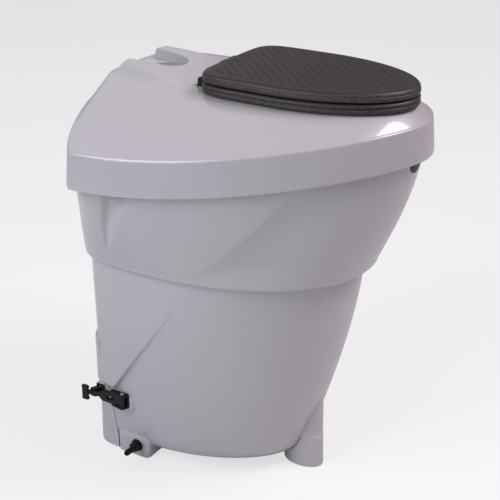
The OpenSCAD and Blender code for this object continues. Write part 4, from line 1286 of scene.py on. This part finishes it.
LENS, SENSOR = 88.92, 36.0
CAMERA_PLACE = (-1.9820, -1.1673, 1.4842)
CAMERA_AIM = Vector((0.7810, 0.4767, -0.4035))
LIT_POINT = Vector((0, 0, 0.45))
FLOOR_HALF = 9000.0           # millimetres


def turned_to(direction):
    """The turn that makes a camera or lamp look along the direction."""
    return direction.to_track_quat("-Z", "Y").to_euler()


class TOILET_OT_stage(ToiletStep):
    """Camera, lights, surround and floor"""
    bl_idname = "toilet.stage"
    bl_label = "Stage"

    def build(self, body):
        scene, look = bpy.context.scene, bpy.context.scene.toilet_stage
        scene.view_settings.view_transform = "Standard"
        data = bpy.data.cameras.new("camera")
        data.lens, data.sensor_width = LENS, SENSOR
        scene.camera = linked("camera", data)
        scene.camera.location = CAMERA_PLACE
        scene.camera.rotation_euler = turned_to(CAMERA_AIM)
        world = bpy.data.worlds.new("surround")
        scene.world = world
        world.use_nodes = True
        background = world.node_tree.nodes["Background"]
        background.inputs["Color"].default_value = (0.99, 0.96, 1.0, 1)
        background.inputs["Strength"].default_value = look.sky
        for name, place, size, power, tint in (
                ("key", (-2.1, 0.9, 2.3), 1.5, look.key, (0.90, 0.93, 1.0)),
                ("fill", (0.6, -1.7, 3.0), 1.3, look.fill * 2.3, (1.0, 0.87, 0.94)),
                ("side", (-2.9, 0.5, 1.3), 1.8, look.fill * 0.6, (0.87, 0.92, 1.0)),
                ("back", (1.4, 2.2, 2.6), 3.0, look.fill * 0.3, (1.0, 0.97, 0.98))):
            lamp = bpy.data.lights.new(name, "AREA")
            lamp.shape, lamp.size = "SQUARE", size
            lamp.energy, lamp.color = power, tint
            obj = linked(name, lamp)
            obj.location = place
            obj.rotation_euler = turned_to(LIT_POINT - Vector(place))
        far = FLOOR_HALF
        floor = mesh_object("floor", [(-far, -far, 0), (far, -far, 0), (far, far, 0),
                                      (-far, far, 0)], [(0, 1, 2, 3)])
        s = Surface("pale studio floor")
        cloud = s.noise(0.7, 2.0)
        seen = s.add("ShaderNodeLightPath")
        rgb = tuple(look.floor)
        base = s.blend(cloud, shade(rgb, 0.76), shade(rgb, 0.78))
        s.set(Base_Color=s.blend(seen, base, shade(rgb, 0.26)), Roughness=1.0,
              Emission_Color=s.blend(seen, (0.0, 0.0, 0.0), shade(rgb, 0.72)),
              Emission_Strength=1.0, Specular_IOR_Level=0.0)
        floor.data.materials.append(s.material)


class TOILET_OT_cover(ToiletStep):
    """Cover with its skirt, dome, seat platform and vent saddle"""
    bl_idname = "toilet.cover"
    bl_label = "Cover and saddle"

    def build(self, body):
        cover, saddle = build_cover(body), build_saddle(body)
        finish_piece(cover, "base", "shell_plastic", ["top_cover"])
        finish_piece(saddle, "base", "shell_plastic", sharp=50)


class TOILET_OT_casing(ToiletStep):
    """Flared casing with its scoops and recesses"""
    bl_idname = "toilet.casing"
    bl_label = "Upper casing"

    def build(self, body):
        finish_piece(build_casing(body), "base", "shell_plastic", ["upper_casing"], sharp=40)


class TOILET_OT_tank(ToiletStep):
    """Tank with its side panels, leg, foot blocks and pads, and the front foot"""
    bl_idname = "toilet.tank"
    bl_label = "Tank and front foot"

    def build(self, body):
        finish_piece(build_tank(body), "base", "shell_plastic", ["tank"], sharp=38)
        finish_piece(build_foot(body), "base", "shell_plastic", ["front_foot"])


class TOILET_OT_hatch(ToiletStep):
    """Rear emptying hatch"""
    bl_idname = "toilet.hatch"
    bl_label = "Hatch"

    def build(self, body):
        finish_piece(build_hatch(body), "hatch", "shell_plastic", ["hatch_shell"])


class TOILET_OT_seat(ToiletStep):
    """Moulded foam seat and its dimpled lid"""
    bl_idname = "toilet.seat"
    bl_label = "Seat and lid"

    def build(self, body):
        finish_piece(build_seat_ring(), "seat", "seat_foam", ["seat_ring"], sharp=50)
        finish_piece(build_lid(), "lid", "seat_foam", ["seat_lid"], sharp=60)


def node_slots():
    return {row["node"]: row["material_slot"] for row in frame["record"]["subparts"]}


class TOILET_OT_fittings(ToiletStep):
    """Latches, hinge parts, spout and other hardware with rounded edges"""
    bl_idname = "toilet.fittings"
    bl_label = "Fittings"

    rounded = (("latch_bases", 0.8), ("latch_strap_left", 1.3), ("latch_strap_right", 1.3),
               ("latch_keepers", 0.8), ("hinge_blocks", 1.2), ("hinge_wing_nuts", 0.8),
               ("seat_arms", 1.0), ("lid_arms", 1.0), ("drain_spout", 0.5), ("drain_nut", 0.7),
               ("hinge_pin", 0.5), ("latch_pins", 0.4), ("rear_pads", 0.6), ("badge_plate", 0.4),
               ("port_frame", 0.6), ("drain_grate", 0.6))

    def build(self, body):
        slots = node_slots()
        bodies = {node: name for name, nodes in frame["record"]["behaviour"]["bodies"].items()
                  for node in nodes}
        for node, width in self.rounded:
            obj = node_copy(node + "_part", node, width)
            finish_piece(obj, bodies[node], slots[node], [node])


class TOILET_OT_frame(ToiletStep):
    """Finishes on the nodes that keep their own solids"""
    bl_idname = "toilet.frame"
    bl_label = "Frame finishes"

    def build(self, body):
        slots = node_slots()
        for node, obj in frame["nodes"].items():
            material = material_for(slots[node])
            if obj.material_slots:
                for place in obj.material_slots:
                    place.link = "OBJECT"
                    place.material = material
            else:
                obj.data.materials.append(material)


STEPS = (TOILET_OT_stage, TOILET_OT_frame, TOILET_OT_cover, TOILET_OT_casing, TOILET_OT_tank,
         TOILET_OT_hatch, TOILET_OT_seat, TOILET_OT_fittings)


class TOILET_PT_panel(bpy.types.Panel):
    """Sizes, colours and building steps of the composting toilet"""
    bl_label = "Composting Toilet"
    bl_idname = "TOILET_PT_panel"
    bl_space_type = "VIEW_3D"
    bl_region_type = "UI"
    bl_category = "Composting Toilet"

    def draw(self, context):
        layout = self.layout
        for step in STEPS:
            layout.operator(step.bl_idname, text=step.bl_label)
        for name in GROUPS:
            box = layout.box()
            box.label(text=name.replace("toilet_", "").capitalize())
            group = getattr(context.scene, name)
            for key in group.__annotations__:
                box.prop(group, key)


CLASSES = (*GROUPS.values(), *STEPS, TOILET_PT_panel)


def register():
    for item in CLASSES:
        bpy.utils.register_class(item)
    for name, group in GROUPS.items():
        setattr(bpy.types.Scene, name, PointerProperty(type=group))


def unregister():
    for name in GROUPS:
        delattr(bpy.types.Scene, name)
    for item in reversed(CLASSES):
        bpy.utils.unregister_class(item)


def main():
    register()
    for step in STEPS:
        group, name = step.bl_idname.split(".")
        getattr(getattr(bpy.ops, group), name)()


if __name__ == "__main__":
    main()
